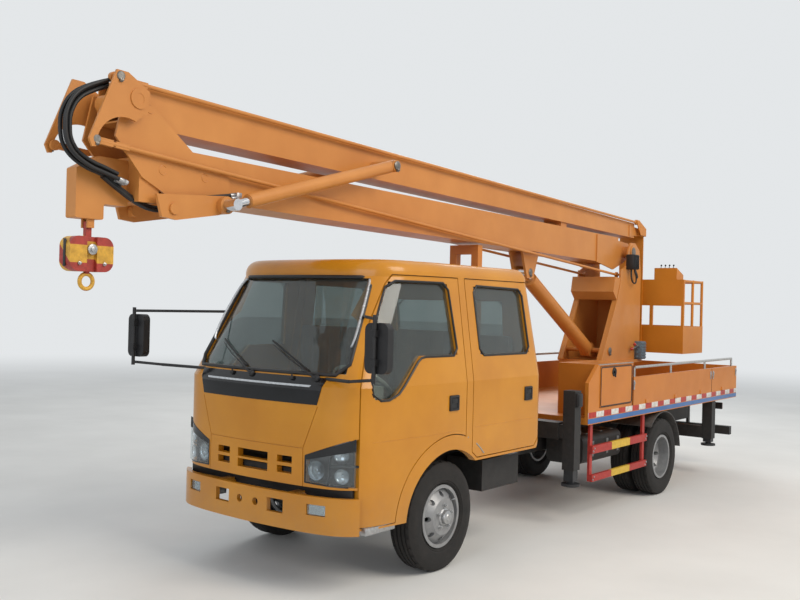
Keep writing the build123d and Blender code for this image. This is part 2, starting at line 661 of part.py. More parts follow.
def leg(side, y, top):
    """Square leg with its round foot."""
    h = LEG_SIZE / 2
    x = side * LEG_X
    post = box(x - h, x + h, y - h, y + h, LEG_FOOT + 40, top - 20)
    post += z_cylinder(30, x, y, LEG_FOOT + 10, LEG_FOOT + 50)
    post += z_cylinder(80, x, y, LEG_FOOT, LEG_FOOT + 22)
    return post


def tanks():
    """Fuel tank, battery case and air tank on brackets outside the frame."""
    plate = RAIL_X + 0.2
    inner = RAIL_X + 55
    fuel = fillet(box(inner, TANK_X, TANK_FRONT, TANK_REAR, 470, 730).edges().filter_by(Axis.Y), 60)
    for y in (TANK_FRONT + 170, TANK_REAR - 170):
        fuel += box(plate, inner + 1, y - 20, y + 20, 600, 700)
    battery = box(inner, TANK_X - 40, 640, 1180, 460, 700)
    battery += box(plate, inner + 1, 900, 940, 560, 680)
    air = x_cylinder(110, -inner, -TANK_X, 1000, 600) + box(-inner - 1, -plate, 980, 1020, 580, 660)
    return [fuel, battery, air]


def guards():
    """Side rails under the deck and the rear underrun bar."""
    rail = box(GUARD_X - 15, GUARD_X + 15, GUARD_FRONT, GUARD_REAR, 340, 400)
    rail += box(GUARD_X - 15, GUARD_X + 15, GUARD_FRONT, GUARD_REAR, 590, 660)
    for y in (GUARD_FRONT + 25, GUARD_REAR - 25):
        rail += box(GUARD_X - 35, GUARD_X - 13, y - 25, y + 25, 340, DECK_BOTTOM - 0.2)
    under = box(-UNDERRUN_X, UNDERRUN_X, DECK_REAR - 60, DECK_REAR + 10, 400, 500)
    for side in (-1, 1):
        under += box(side * (RAIL_X - 35), side * (RAIL_X - 5), DECK_REAR - 60, DECK_REAR - 10, 480,
                     DECK_BOTTOM - 0.2)
    return both(rail) + [under]


def mudguards():
    """Arched guards over the rear wheels."""
    inner = RAIL_X + 105
    ring = x_cylinder(MUDGUARD_R + 8, inner, MUDGUARD_X, WHEELBASE, TYRE_R)
    ring -= x_cylinder(MUDGUARD_R, inner - 10, MUDGUARD_X + 10, WHEELBASE, TYRE_R)
    ring &= box(400, 1000, WHEELBASE - 320, WHEELBASE + 700, TYRE_R + 60, DECK_BOTTOM + 100)
    stay = box(inner + 40, inner + 80, WHEELBASE - 30, WHEELBASE + 30, TYRE_R + MUDGUARD_R, DECK_BOTTOM - 0.3)
    return both(ring + stay)


# Turntable and booms
def boom_box(a, b, half, h0, h1, wall):
    """Hollow tapered box from a to b, as (y, z), open at both ends."""
    angle = atan2(b[1] - a[1], b[0] - a[0])
    ny, nz = -sin(angle), cos(angle)

    def outline(cut, extra):
        ey, ez = cos(angle) * extra, sin(angle) * extra
        return [(a[0] + ny * (h0 - cut) - ey, a[1] + nz * (h0 - cut) - ez),
                (b[0] + ny * (h1 - cut) + ey, b[1] + nz * (h1 - cut) + ez),
                (b[0] - ny * (h1 - cut) + ey, b[1] - nz * (h1 - cut) + ez),
                (a[0] - ny * (h0 - cut) - ey, a[1] - nz * (h0 - cut) - ez)]
    return side_prism(outline(0, 0), -half, half) - side_prism(outline(wall, 5), -half + wall, half - wall)


def rod_anchor():
    """Rear pivot of the lower levelling rods."""
    return (PLATE_LOW[0] + PIVOT[0] - KNUCKLE[0], PLATE_LOW[1] + PIVOT[1] - KNUCKLE[1])


def turntable():
    """Slewing column: base, two side plates and the rod anchors."""
    base = z_cylinder(340, 0, SLEW_Y, SLEW_Z, SLEW_Z + 40)
    base += box(-300, 300, SLEW_Y - 480, SLEW_Y + 380, SLEW_Z + 38, SLEW_Z + 70)
    plate = [(3720, SLEW_Z + 60), (3720, 1345), (4075, 1990), (4150, 2190), (4150, 2320), (4290, 2370),
             (4340, 2560), (4400, 2640), (4520, 2640), (4640, 2560), (4690, 2300), (4690, SLEW_Z + 60)]
    left = side_prism(plate, COLUMN_X - 18, COLUMN_X)
    column = base + left + mirror_x(left)
    column += box(-COLUMN_X + 5, COLUMN_X - 5, 4640, 4670, SLEW_Z + 60, 2250)
    bridge = [(4150, 2190), (4150, 2235), (4020, 2245), (3985, 2080), (4072, 1992)]
    column += side_prism(bridge, -COLUMN_X + 5, COLUMN_X - 5)
    for side in (-1, 1):
        flange = [(3722, 1330), (3722, 1345), (4077, 1990), (4101, 1978), (3750, 1340), (3750, 1330)]
        piece = side_prism(flange, COLUMN_X - 60, COLUMN_X)
        column += piece if side > 0 else mirror_x(piece)
        column += x_cylinder(70, side * COLUMN_X, side * (COLUMN_X + 8), *PIVOT)
        column += x_cylinder(45, side * COLUMN_X, side * (COLUMN_X + 8), *LIFT_BASE)
    column += box(COLUMN_X - 1, COLUMN_X + 88, 4290, 4420, 2340, 2500)
    column += box(COLUMN_X - 1, COLUMN_X + 80, 4560, 4680, 1335, 1530)
    column += x_cylinder(PIVOT_PIN, -COLUMN_X, COLUMN_X, *PIVOT)
    column += x_cylinder(PIN_R, -COLUMN_X, COLUMN_X, *LIFT_BASE)
    for side in (-1, 1):
        column += x_cylinder(ROD_PIN, side * (ROD_X - 12), side * COLUMN_X, *rod_anchor())
    return column


def lower_boom():
    front = (-1960.0, 2640.0)
    piece = boom_box(front, (PIVOT[0] - 150, 2545.0), LOWER_HALF, 140, 150, BOOM_WALL)
    head = [(-1750, 2770), (KNUCKLE[0] + 50, KNUCKLE[1] + 52), (KNUCKLE[0] - 48, KNUCKLE[1] + 48),
            (KNUCKLE[0] - 110, 2790), (-2120, 2580), (-1850, 2450), (-1600, 2425), (-1500, 2425), (-1430, 2520), (-1500, 2770)]
    plate = side_prism(head, LOWER_HALF - 1, LOWER_HALF + 14)
    piece += plate + mirror_x(plate)
    tail = [(PIVOT[0] - 700, 2690), (PIVOT[0] + 90, 2640), (PIVOT[0] + 110, 2500), (PIVOT[0] - 30, 2420),
            (PIVOT[0] - 300, 2330), (PIVOT[0] - 700, 2395)]
    tail_plate = side_prism(tail, LOWER_HALF - 1, LOWER_HALF + 14)
    piece += tail_plate + mirror_x(tail_plate)
    piece += x_cylinder(62, -COLUMN_X + 30, COLUMN_X - 30, *PIVOT)
    piece -= x_cylinder(PIVOT_PIN + FIT, -300, 300, *PIVOT)
    piece += x_cylinder(KNUCKLE_PIN, -PLATE_X - 12, PLATE_X + 12, *KNUCKLE)
    saddle = [(3050, 2700), (3050, saddle_z(3050)), (3170, saddle_z(3170)), (3170, 2700)]
    piece += side_prism(saddle, -100, 100)
    for side in (-1, 1):
        piece += x_cylinder(55, side * LOWER_HALF, side * (FOLD_X - 47.4), *FOLD_EYE)
        link = side_prism([(-2050, 2490), (-2010, 2360), (-1900, 2350), (FOLD_EYE[0] - 30, FOLD_EYE[1] - 62),
                           (FOLD_EYE[0] + 60, FOLD_EYE[1] - 20), (FOLD_EYE[0] + 20, FOLD_EYE[1] + 60)],
                          LOWER_HALF + 40, LOWER_HALF + 62)
        piece += link if side > 0 else mirror_x(link)
        piece += x_cylinder(34, side * LOWER_HALF, side * (LOWER_HALF + 75), -1925, 2415)
    piece += box(-LOWER_HALF, LOWER_HALF, -2130, -1990, 2440, 2700)
    crane = side_prism([(CRANE_FRONT, 2322), (-2290, 2322), (-2290, 2412), (-2130, 2412), (-2130, 2680),
                        (-2330, 2680), (CRANE_FRONT, 2600)], -CRANE_HALF, CRANE_HALF)
    piece += fillet(crane.edges().filter_by(Axis.X), 12)
    for side in (-1, 1):
        piece += box(side * 18, side * 32, HOOK_PIVOT[0] - 22, HOOK_PIVOT[0] + 22, HOOK_PIVOT[1] - 18, 2323)
    piece += x_cylinder(ROD_PIN, -32, 32, *HOOK_PIVOT)
    ear = side_prism([(LIFT_EYE[0] - 170, 2460), (LIFT_EYE[0] - 60, LIFT_EYE[1] - 60),
                      (LIFT_EYE[0] + 60, LIFT_EYE[1] - 60), (LIFT_EYE[0] + 170, 2460)], 55.5, 80)
    piece += ear + mirror_x(ear)
    return piece


def saddle_z(y):
    """Height of the upper boom's underside over the saddle, less its seat."""
    a, b = (KNUCKLE[0] - 40, KNUCKLE[1] - 5), (TIP[0] - 100, TIP[1] + 10)
    share = (y - a[0]) / (b[0] - a[0])
    return a[1] + (b[1] - a[1]) * share - (120 - 35 * share) - 0.5


def upper_boom():
    piece = boom_box((KNUCKLE[0] - 40, KNUCKLE[1] - 5), (TIP[0] - 100, TIP[1] + 10), UPPER_HALF, 120, 85, BOOM_WALL)
    piece += x_cylinder(60, -UPPER_HALF, UPPER_HALF, *KNUCKLE)
    piece += x_cylinder(45, -UPPER_HALF, UPPER_HALF, *TIP)
    piece -= x_cylinder(KNUCKLE_PIN + FIT, -300, 300, *KNUCKLE)
    for side in (-1, 1):
        cheek = side_prism([(TIP[0] - 250, TIP[1] + 60), (TIP[0] + 30, TIP[1] + 40), (TIP[0] + 40, TIP[1] - 40),
                            (TIP[0] - 250, TIP[1] - 60)], UPPER_HALF - 1, UPPER_HALF + 10)
        piece += cheek if side > 0 else mirror_x(cheek)
        piece += x_cylinder(48, side * (UPPER_HALF - 5), side * (FOLD_X - 47.4), *FOLD_HUB)
        piece += x_cylinder(PIN_R, side * 200, side * (FOLD_X + 52), *FOLD_HUB)
    piece -= x_cylinder(PIN_R + FIT, -300, 300, *TIP)
    return piece


def rod_fork(a, b, x):
    """Fork and square lock nut on a levelling rod, beside its eye."""
    length = hypot(b[0] - a[0], b[1] - a[1])
    angle = degrees(atan2(b[1] - a[1], b[0] - a[0]))
    pieces = []
    for start, end, half in ((22, 118, 19), (136, 226, 17)):
        mid = between(a, b, (start + end) / 2 / length)
        pieces.append(Pos(x, mid[0], mid[1]) * Rot(angle, 0, 0) * Box(2 * half - 14, end - start, 2 * half))
    return pieces[0] + pieces[1]


def levelling_plates():
    """Two plates that stay level at the knuckle, joined by its pin."""
    curve = [(PLATE_TOP[0] + 50, PLATE_TOP[1] + 30), (PLATE_TOP[0] - 25, PLATE_TOP[1] + 32),
             (PLATE_LOW[0] - 50, PLATE_LOW[1]), (PLATE_LOW[0] - 30, PLATE_LOW[1] - 45),
             (PLATE_LOW[0] + 45, PLATE_LOW[1] - 35), (KNUCKLE[0] + 70, KNUCKLE[1] - 60),
             (KNUCKLE[0] + 75, KNUCKLE[1] + 50)]
    plate = side_prism(curve, PLATE_X - 7, PLATE_X + 7) - x_cylinder(KNUCKLE_PIN + FIT, 100, 300, *KNUCKLE)
    plate -= x_cylinder(185, 100, 300, KNUCKLE[0] - 85, KNUCKLE[1] - 305)
    plate += x_cylinder(58, PLATE_X - 7, PLATE_X + 14, *KNUCKLE) - x_cylinder(KNUCKLE_PIN + FIT, 100, 300, *KNUCKLE)
    plate += x_cylinder(ROD_PIN, ROD_X - 12, PLATE_X, *PLATE_LOW)
    other = mirror_x(plate)
    plate += x_cylinder(ROD_PIN, TOP_ROD_X - 14, PLATE_X, *PLATE_TOP)
    return plate, other


def lower_rods():
    rod = bar(13, PLATE_LOW, rod_anchor(), ROD_X) + rod_fork(PLATE_LOW, rod_anchor(), ROD_X)
    for end in (PLATE_LOW, rod_anchor()):
        rod += x_cylinder(30, ROD_X - 10, ROD_X + 10, *end)
    for end in (PLATE_LOW, rod_anchor()):
        rod -= x_cylinder(ROD_PIN + FIT, 0, 300, *end)
    return both(rod)


def upper_rod():
    end = (TIP[0] + PLATE_TOP[0] - KNUCKLE[0], TIP[1] + PLATE_TOP[1] - KNUCKLE[1])
    rod = bar(13, PLATE_TOP, end, TOP_ROD_X) + rod_fork(PLATE_TOP, end, TOP_ROD_X)
    for point in (PLATE_TOP, end):
        rod += x_cylinder(30, TOP_ROD_X - 12, TOP_ROD_X + 12, *point)
    for point in (PLATE_TOP, end):
        rod -= x_cylinder(ROD_PIN + FIT, 0, 300, *point)
    return rod


def cylinder_parts(base, eye, x, radius, rod_r, eye_half):
    """Barrel and rod of one hydraulic cylinder in the side plane x."""
    length = hypot(eye[0] - base[0], eye[1] - base[1])
    mouth = between(base, eye, 1 - 130 / length)
    barrel = bar(radius, between(base, eye, 30 / length), mouth, x)
    barrel -= bar(rod_r + FIT, between(base, eye, 90 / length), between(base, eye, 1.2), x)
    barrel += x_cylinder(radius, x - eye_half, x + eye_half, *base)
    barrel -= x_cylinder(PIN_R + FIT, x - 200, x + 200, *base)
    rod = bar(rod_r, between(base, eye, 110 / length), between(base, eye, 1 - 30 / length), x)
    rod += x_cylinder(radius * 0.8, x - eye_half, x + eye_half, *eye)
    return barrel, rod


def basket():
    half = BASKET_W / 2
    t = 25
    tub = box(-half, half, BASKET_FRONT, BASKET_REAR, BASKET_FLOOR, BASKET_SKIRT)
    tub -= box(-half + t, half - t, BASKET_FRONT + t, BASKET_REAR - t, BASKET_FLOOR + t, BASKET_SKIRT + 10)
    h = POST / 2
    front = BASKET_FRONT + h
    rear = BASKET_REAR - h
    for x in (-half + h, -half * 0.4, half * 0.4, half - h):
        tub += box(x - h, x + h, front - h, front + h, BASKET_SKIRT - 5, BAND_LOW + 5)
    tub += box(-half, half, BASKET_FRONT, BASKET_FRONT + POST, BAND_LOW, BASKET_TOP)
    for x in (-half + h, 0, half - h):
        tub += z_cylinder(GUARD_TUBE_R, x, rear, BASKET_SKIRT - 5, BASKET_TOP)
    for side in (-1, 1):
        x = side * (half - h)
        tub += z_cylinder(GUARD_TUBE_R, x, (front + rear) / 2, BASKET_SKIRT - 5, BASKET_TOP)
        for z in (RAIL_MID, BASKET_TOP - GUARD_TUBE_R):
            tub += bar(GUARD_TUBE_R - 1, (front, z), (rear, z), x)
    for z in (RAIL_MID, BASKET_TOP - GUARD_TUBE_R):
        tub += x_cylinder(GUARD_TUBE_R - 1, -half + h, half - h, rear, z)
    console = side_prism([(front - h, BASKET_TOP - 1), (front + 190, BASKET_TOP - 1), (front + 190, BASKET_TOP + 60),
                          (front - h, BASKET_TOP + 135)], 290, 560)
    tub += console
    ear_in = UPPER_HALF + 16
    ear_out = UPPER_HALF + 28
    hanger_y = TIP[0] + 98
    tub += box(-ear_out, ear_out, hanger_y, BASKET_FRONT + 1, BASKET_FLOOR + 60, TIP[1] + 45)
    for side in (-1, 1):
        tub += box(side * ear_in, side * ear_out, TIP[0] - 40, hanger_y + 5, TIP[1] - 45, TIP[1] + 45)
    tub += x_cylinder(PIN_R, -ear_out, ear_out, *TIP)
    end = (TIP[0] + PLATE_TOP[0] - KNUCKLE[0], TIP[1] + PLATE_TOP[1] - KNUCKLE[1])
    arm = side_prism([(hanger_y + 10, TIP[1] - 40), (hanger_y + 10, TIP[1] + 45), (end[0] + 20, end[1] + 28),
                      (end[0] - 25, end[1] + 10), (end[0] - 10, end[1] - 28), (TIP[0] - 40, TIP[1] - 40)],
                     TOP_ROD_X + 14, TOP_ROD_X + 24)
    tub += arm + x_cylinder(ROD_PIN, TOP_ROD_X - 14, TOP_ROD_X + 24, *end)
    tub += box(ear_in, TOP_ROD_X + 24, hanger_y, hanger_y + 12, TIP[1] - 45, TIP[1] + 45)
    return tub


def hook_block():
    """Striped hook block, hung on a short link."""
    y, z = HOOK_PIVOT
    link = box(-14, 14, y - 18, y + 18, z - 70, z + 18) - x_cylinder(ROD_PIN + FIT, -50, 50, y, z)
    block = box(-52, 52, y - 140, y + 140, z - 265, z - 68)
    block = fillet(block.edges().filter_by(Axis.X), 58)
    for side in (-1, 1):
        block -= box(side * 30, side * 60, y - 32, y + 32, z - 280, z - 60)
    hook = Pos(0, y, z - 320) * Rot(0, 90, 0) * Torus(42, 12)
    hook += box(-12, 12, y - 12, y + 12, z - 282, z - 264)
    return link + block + hook


def main():
    os.makedirs("parts", exist_ok=True)
    put("chassis_frame", chassis_frame())
    put("engine", engine())
    put("axles", front_axle(), rear_axle())
    cab = cab_parts()
    for name in ("cab_roof", "cab_front", "cab_rear"):
        put(name, cab[name])
    put("cab_sides", *both(cab["cab_sides"]))
    put("cab_glass", *cab["cab_glass"])
    for name in ("door_front", "door_rear", "glass_front", "glass_rear"):
        put(name + "_left", cab[name])
        put(name + "_right", mirror_x(cab[name]))
    put("cab_floor", cab_floor())
    put("bumper", bumper())
    put("lamps", *lamps(cab["lamp"]))
    put("seats", *seats())
    put("dashboard", dashboard())
    put("mirrors", *mirrors())
    put("deck", *deck())
    put("handrails", *handrails())
    put("tool_box", *tool_box())
    put("tool_door_left", tool_door(1))
    put("tool_door_right", tool_door(-1))
    put("outrigger_housings", *outrigger_housings())
    put("tanks", *tanks())
    put("guards", *guards())
    put("mudguards", *mudguards())
    for side, hand in ((1, "left"), (-1, "right")):
        x = side * TRACK_FRONT / 2
        put("knuckle_" + hand, knuckle(side))
        put("tyre_front_" + hand, tyre(x))
        put("rim_front_" + hand, rim(x, side, DISC_OFFSET))
        rear = Pos(0, WHEELBASE, 0)
        x_in = side * (TRACK_REAR - TWIN_SPACING) / 2
        x_out = side * (TRACK_REAR + TWIN_SPACING) / 2
        put("tyres_rear_" + hand, rear * tyre(x_in), rear * tyre(x_out))
        put("rims_rear_" + hand, rear * rim(x_in, side, DISC_OFFSET), rear * rim(x_out, -side, DISC_OFFSET))
        put("beam_" + hand, beam(side))
        put("leg_front_" + hand, leg(side, LEG_FRONT_Y, LEG_TOP_FRONT))
        put("leg_rear_" + hand, leg(side, LEG_REAR_Y, LEG_TOP_REAR))
    put("turntable", turntable())
    put("lower_boom", lower_boom())
    put("upper_boom", upper_boom())
    put("levelling_plates", *levelling_plates())
    put("lower_rods", *lower_rods())
    put("upper_rod", upper_rod())
    barrel, rod = cylinder_parts(LIFT_BASE, LIFT_EYE, 0, 75, 45, 55)
    put("lift_barrel", barrel)
    put("lift_rod", rod)
    barrel, rod = cylinder_parts(FOLD_HUB, FOLD_EYE, FOLD_X, 45, 28, 47)
    put("fold_barrels", *both(barrel))
    put("fold_rods", *both(rod))
    put("basket", basket())
    put("hook_block", hook_block())


main()
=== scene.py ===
# Cherry picker truck: the finishes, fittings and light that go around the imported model.
# Metres. X is the truck's left, the cab faces -Y, Z is up.
from math import atan2, cos, exp, hypot, pi, radians, sin

import bpy
from mathutils import Matrix, Vector


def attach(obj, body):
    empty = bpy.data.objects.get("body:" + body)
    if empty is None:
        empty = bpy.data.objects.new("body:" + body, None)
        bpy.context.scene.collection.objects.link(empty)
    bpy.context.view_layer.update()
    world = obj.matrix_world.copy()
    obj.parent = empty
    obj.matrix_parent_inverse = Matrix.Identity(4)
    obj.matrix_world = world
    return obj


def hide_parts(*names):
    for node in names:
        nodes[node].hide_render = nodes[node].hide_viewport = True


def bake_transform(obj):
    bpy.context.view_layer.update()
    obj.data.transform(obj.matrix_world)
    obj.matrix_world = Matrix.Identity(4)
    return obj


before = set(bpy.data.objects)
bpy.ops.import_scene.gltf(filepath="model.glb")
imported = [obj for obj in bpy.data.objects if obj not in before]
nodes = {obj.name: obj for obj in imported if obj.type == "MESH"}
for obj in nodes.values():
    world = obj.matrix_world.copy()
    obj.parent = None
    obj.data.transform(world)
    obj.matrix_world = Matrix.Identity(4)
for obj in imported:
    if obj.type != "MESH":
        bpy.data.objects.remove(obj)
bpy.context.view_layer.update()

# The camera stands off the front left corner at head height, as for a picture taken in the yard.
# Its place and turn were solved from the wheels, the bumper and the deck.
AXLE_X = 0.075
AXLE_Y = -1.775


def at(x, y, z):
    """A point given from the front axle's middle, on the ground."""
    return Vector((AXLE_X + x, AXLE_Y + y, z))


PHOTO_W = 800
FOCAL_PIXELS = 930.2
SENSOR_MM = 36.0
EYE = at(4.6322, -5.4240, 1.8804)
TURN, RISE, ROLL = radians(37.847), radians(0.299), radians(1.393)
ahead = Vector((-sin(TURN) * cos(RISE), cos(TURN) * cos(RISE), sin(RISE)))
level_right = Vector((cos(TURN), sin(TURN), 0))
level_up = level_right.cross(ahead)
right = level_right * cos(ROLL) + level_up * sin(ROLL)
up = level_up * cos(ROLL) - level_right * sin(ROLL)
camera_data = bpy.data.cameras.new("camera")
camera_data.sensor_width = SENSOR_MM
camera_data.lens = FOCAL_PIXELS * SENSOR_MM / PHOTO_W
camera_data.clip_end = 200
camera = bpy.data.objects.new("camera", camera_data)
camera.matrix_world = Matrix((right, up, -ahead)).transposed().to_4x4()
camera.location = EYE
bpy.context.scene.collection.objects.link(camera)
bpy.context.scene.camera = camera


# Floor and light: a pale floor that runs out of sight under a broad soft sky.
# The sky lights from all round, and three wide lamps give the form its lit and its shaded side.
def linear(hex_colour):
    """An sRGB hex colour as the linear colour that the shaders take."""
    parts = [int(hex_colour[i:i + 2], 16) / 255 for i in (1, 3, 5)]
    return [c / 12.92 if c <= 0.04045 else ((c + 0.055) / 1.055) ** 2.4 for c in parts] + [1.0]


def wire(node, settings):
    """Sets a node up; a setting is an attribute, a value for an input, or the output that feeds it."""
    for name, value in settings.items():
        if isinstance(value, bpy.types.NodeSocket):
            node.id_data.links.new(value, node.inputs[name])
        elif hasattr(node, str(name)):
            setattr(node, name, value)
        else:
            node.inputs[name].default_value = value
    return node


def add(tree, kind, settings):
    """Adds a shader node of a kind with its settings."""
    return wire(tree.nodes.new("ShaderNode" + kind), settings)


HAZE = {"Color": linear("#e9ecee"), "Strength": 0.95}
view = bpy.context.scene.view_settings
view.view_transform = "Standard"
world = bpy.data.worlds.new("soft sky")
bpy.context.scene.world = world
world.use_nodes = True
sky = world.node_tree
sky.nodes.clear()
ray = add(sky, "LightPath", {})
seen = add(sky, "Math", {"operation": "MAXIMUM", 0: ray.outputs["Is Camera Ray"],
                         1: ray.outputs["Is Glossy Ray"]})
seen = add(sky, "Math", {"operation": "MAXIMUM", 0: seen.outputs[0], 1: ray.outputs["Is Transmission Ray"]})
lit = add(sky, "Background", {"Color": linear("#ecf1f6"), "Strength": 0.56})
shown = add(sky, "Background", HAZE)
mixed = add(sky, "MixShader", {0: seen.outputs[0], 1: lit.outputs[0], 2: shown.outputs[0]})
add(sky, "OutputWorld", {"Surface": mixed.outputs[0]})


def lamp(name, place, target, size, watts, colour):
    """A wide square lamp that points at a target."""
    data = bpy.data.lights.new(name, "AREA")
    data.size = size
    data.energy = watts
    data.color = linear(colour)[:3]
    made = bpy.data.objects.new(name, data)
    made.location = place
    made.rotation_euler = (Vector(target) - Vector(place)).to_track_quat("-Z", "Y").to_euler()
    bpy.context.scene.collection.objects.link(made)


lamp("key lamp", at(9.5, 1.0, 9.0), at(0, 1.6, 1.2), 7.0, 960, "#fff6ea")
lamp("front lamp", at(2.0, -12.0, 5.5), at(0, 0.5, 1.3), 7.0, 370, "#f4f7ff")
lamp("rear lamp", at(-6.0, 11.0, 7.0), at(0, 3.0, 1.2), 6.0, 380, "#ffffff")


def new_material(name):
    """A material with an empty node tree, its object's own coordinates and one surface shader."""
    made = bpy.data.materials.new(name)
    made.use_nodes = True
    tree = made.node_tree
    tree.nodes.clear()
    place = add(tree, "TexCoord", {}).outputs["Object"]
    shader = add(tree, "BsdfPrincipled", {})
    add(tree, "OutputMaterial", {"Surface": shader.outputs[0]})
    return made, tree, place, shader


def noise(tree, place, size_mm, detail=3.0, roughness=0.55):
    """Soft noise whose patches are about so many millimetres across."""
    made = add(tree, "TexNoise", {"Vector": place, "Scale": 1000.0 / size_mm, "Detail": detail,
                                  "Roughness": roughness})
    return made.outputs["Fac"]


def ramp(tree, factor, *stops):
    """Colours at places along a factor."""
    made = add(tree, "ValToRGB", {"Fac": factor})
    while len(made.color_ramp.elements) < len(stops):
        made.color_ramp.elements.new(0.5)
    for element, (where, colour) in zip(made.color_ramp.elements, stops):
        element.position = where
        element.color = linear(colour)
    return made.outputs["Color"]


def bump(shader, height, millimetres, strength=1.0):
    """Relief so many millimetres deep on a surface shader."""
    made = add(shader.id_data, "Bump", {"Height": height, "Distance": millimetres / 1000,
                                        "Strength": strength})
    wire(shader, {"Normal": made.outputs["Normal"]})


def cast_concrete():
    """Power-floated concrete: pale, with soft cloudy patches, that fades into the haze far off."""
    made, tree, place, shader = new_material("pale floated concrete")
    colour = ramp(tree, noise(tree, place, 1400, 5), (0.3, "#dcdcd9"), (0.7, "#e6e6e3"))
    wire(shader, {"Base Color": colour, "Roughness": 0.85})
    bump(shader, noise(tree, place, 30), 0.6)
    away = add(tree, "VectorMath", {"operation": "LENGTH", 0: place})
    far = add(tree, "MapRange", {"Value": away.outputs["Value"], "From Min": 9.0, "From Max": 26.0,
                                 "interpolation_type": "SMOOTHSTEP"})
    path = add(tree, "LightPath", {})
    shown = add(tree, "Math", {"operation": "MULTIPLY", 0: far.outputs[0], 1: path.outputs["Is Camera Ray"]})
    haze = add(tree, "Emission", HAZE)
    faded = add(tree, "MixShader", {0: shown.outputs[0], 1: shader.outputs[0], 2: haze.outputs[0]})
    wire(tree.nodes["Material Output"], {"Surface": faded.outputs[0]})
    return made


bpy.ops.object.select_all(action="DESELECT")
bpy.ops.mesh.primitive_plane_add(size=160, location=(0, 0, 0))
floor = bpy.context.object
floor.name = "floor"
floor.data.materials.append(cast_concrete())


# Chassis: two rolled channels, axles on leaf springs and tanks, in black brushed paint.
# The engine and gearbox are grey castings, oily and unpainted.
def set_finish(thing, material):
    """Gives an object one finish."""
    thing.data.materials.clear()
    thing.data.materials.append(material)


def finish_nodes(material, *names):
    """Gives one finish to nodes of the frame."""
    for name in names:
        set_finish(nodes[name], material)


def metal(name, hex_light, hex_dark, metallic=0.0, roughness=0.6, patch_mm=45, bump_mm=0.5):
    """Cast, plated or rough-painted metal: uneven tone and a slightly pebbled surface."""
    made, tree, place, shader = new_material(name)
    tone = ramp(tree, noise(tree, place, patch_mm, 6, 0.65), (0.35, hex_dark), (0.66, hex_light))
    shine = add(tree, "MapRange", {"Value": noise(tree, place, patch_mm * 2, 4), "To Min": roughness - 0.1,
                                   "To Max": roughness + 0.15})
    wire(shader, {"Base Color": tone, "Metallic": metallic, "Roughness": shine.outputs[0]})
    bump(shader, noise(tree, place, 5, 4), bump_mm, 0.5)
    return made


def pick(*pieces):
    """Selects these objects and no others, with the first one active."""
    bpy.ops.object.select_all(action="DESELECT")
    for piece in pieces:
        piece.select_set(True)
    bpy.context.view_layer.objects.active = pieces[0]


def apply_modifier(made, kind, **settings):
    """Adds one modifier with its settings and applies it."""
    bpy.context.view_layer.objects.active = made
    modifier = made.modifiers.new(kind.lower(), kind)
    for name, value in settings.items():
        setattr(modifier, name, value)
    bpy.ops.object.modifier_apply(modifier=modifier.name)


def block(one, other, bevel=0.003):
    """A block with softened edges between two opposite corners, given from the front axle."""
    bpy.ops.object.select_all(action="DESELECT")
    low, high = [Vector(map(limit, at(*one), at(*other))) for limit in (min, max)]
    bpy.ops.mesh.primitive_cube_add(size=1, location=(low + high) / 2, scale=high - low)
    made = bpy.context.object
    bpy.ops.object.transform_apply()
    apply_modifier(made, "BEVEL", width=bevel, segments=2, limit_method="ANGLE")
    return made


def rod(a, b, radius, sides=16, bevel=0.001):
    """A round bar, or a hexagon with six sides, between two points."""
    bpy.ops.object.select_all(action="DESELECT")
    a, b = at(*a), at(*b)
    turn = (b - a).to_track_quat("Z", "Y").to_euler()
    bpy.ops.mesh.primitive_cylinder_add(vertices=sides, radius=radius, depth=(b - a).length,
                                        location=(a + b) / 2, rotation=turn)
    made = bpy.context.object
    bpy.ops.object.transform_apply()
    apply_modifier(made, "BEVEL", width=bevel, segments=2, limit_method="ANGLE")
    return made


def shaped(name, material, *pieces, angle=35):
    """Joins the pieces of one thing, smooths it by angle, and gives it its finish."""
    pick(*pieces)
    made = pieces[0]
    if len(pieces) > 1:
        bpy.ops.object.join()
    bpy.ops.object.shade_smooth_by_angle(angle=radians(angle))
    made.name = name
    set_finish(made, material)
    return made


def finished(name, body, material, *pieces):
    """A shaped piece that rides on a body."""
    made = shaped(name, material, *pieces)
    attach(made, body)
    return made


def mirrored(piece, body):
    """A copy on the truck's right side, with its own mesh, that rides on a body."""
    made = piece.copy()
    made.data = piece.data.copy()
    bpy.context.scene.collection.objects.link(made)
    made.data.transform(Matrix.Translation((2 * AXLE_X, 0, 0)) @ Matrix.Scale(-1, 4, (1, 0, 0)))
    made.data.flip_normals()
    made.name = piece.name.replace("left", "right")
    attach(made, body)


chassis_black = metal("black chassis paint", "#2b2928", "#1b1a19")
finish_nodes(chassis_black, "chassis_frame", "axles", "knuckle_left", "knuckle_right",
             "outrigger_housings", "beam_left", "beam_right", "tanks")
finish_nodes(metal("cast iron", "#56534f", "#3c3a37", 0.3, 0.65), "engine")
finish_nodes(metal("grey sheet mudguard", "#5a5755", "#474543"), "mudguards")
straps = []
for y in (2.45, 2.75, 2.98):
    straps.append(block((0.60, y - 0.02, 0.728), (0.74, y + 0.02, 0.735), 0.001))
    straps.append(block((0.799, y - 0.02, 0.53), (0.806, y + 0.02, 0.67), 0.001))
straps.append(rod((0.68, 2.35, 0.728), (0.68, 2.35, 0.765), 0.045, 32, 0.004))
dull_zinc = metal("dull zinc plate", "#8f9090", "#7c7d7d", 0.7, 0.4)
finished("tank_straps_and_cap", "chassis", dull_zinc, *straps)


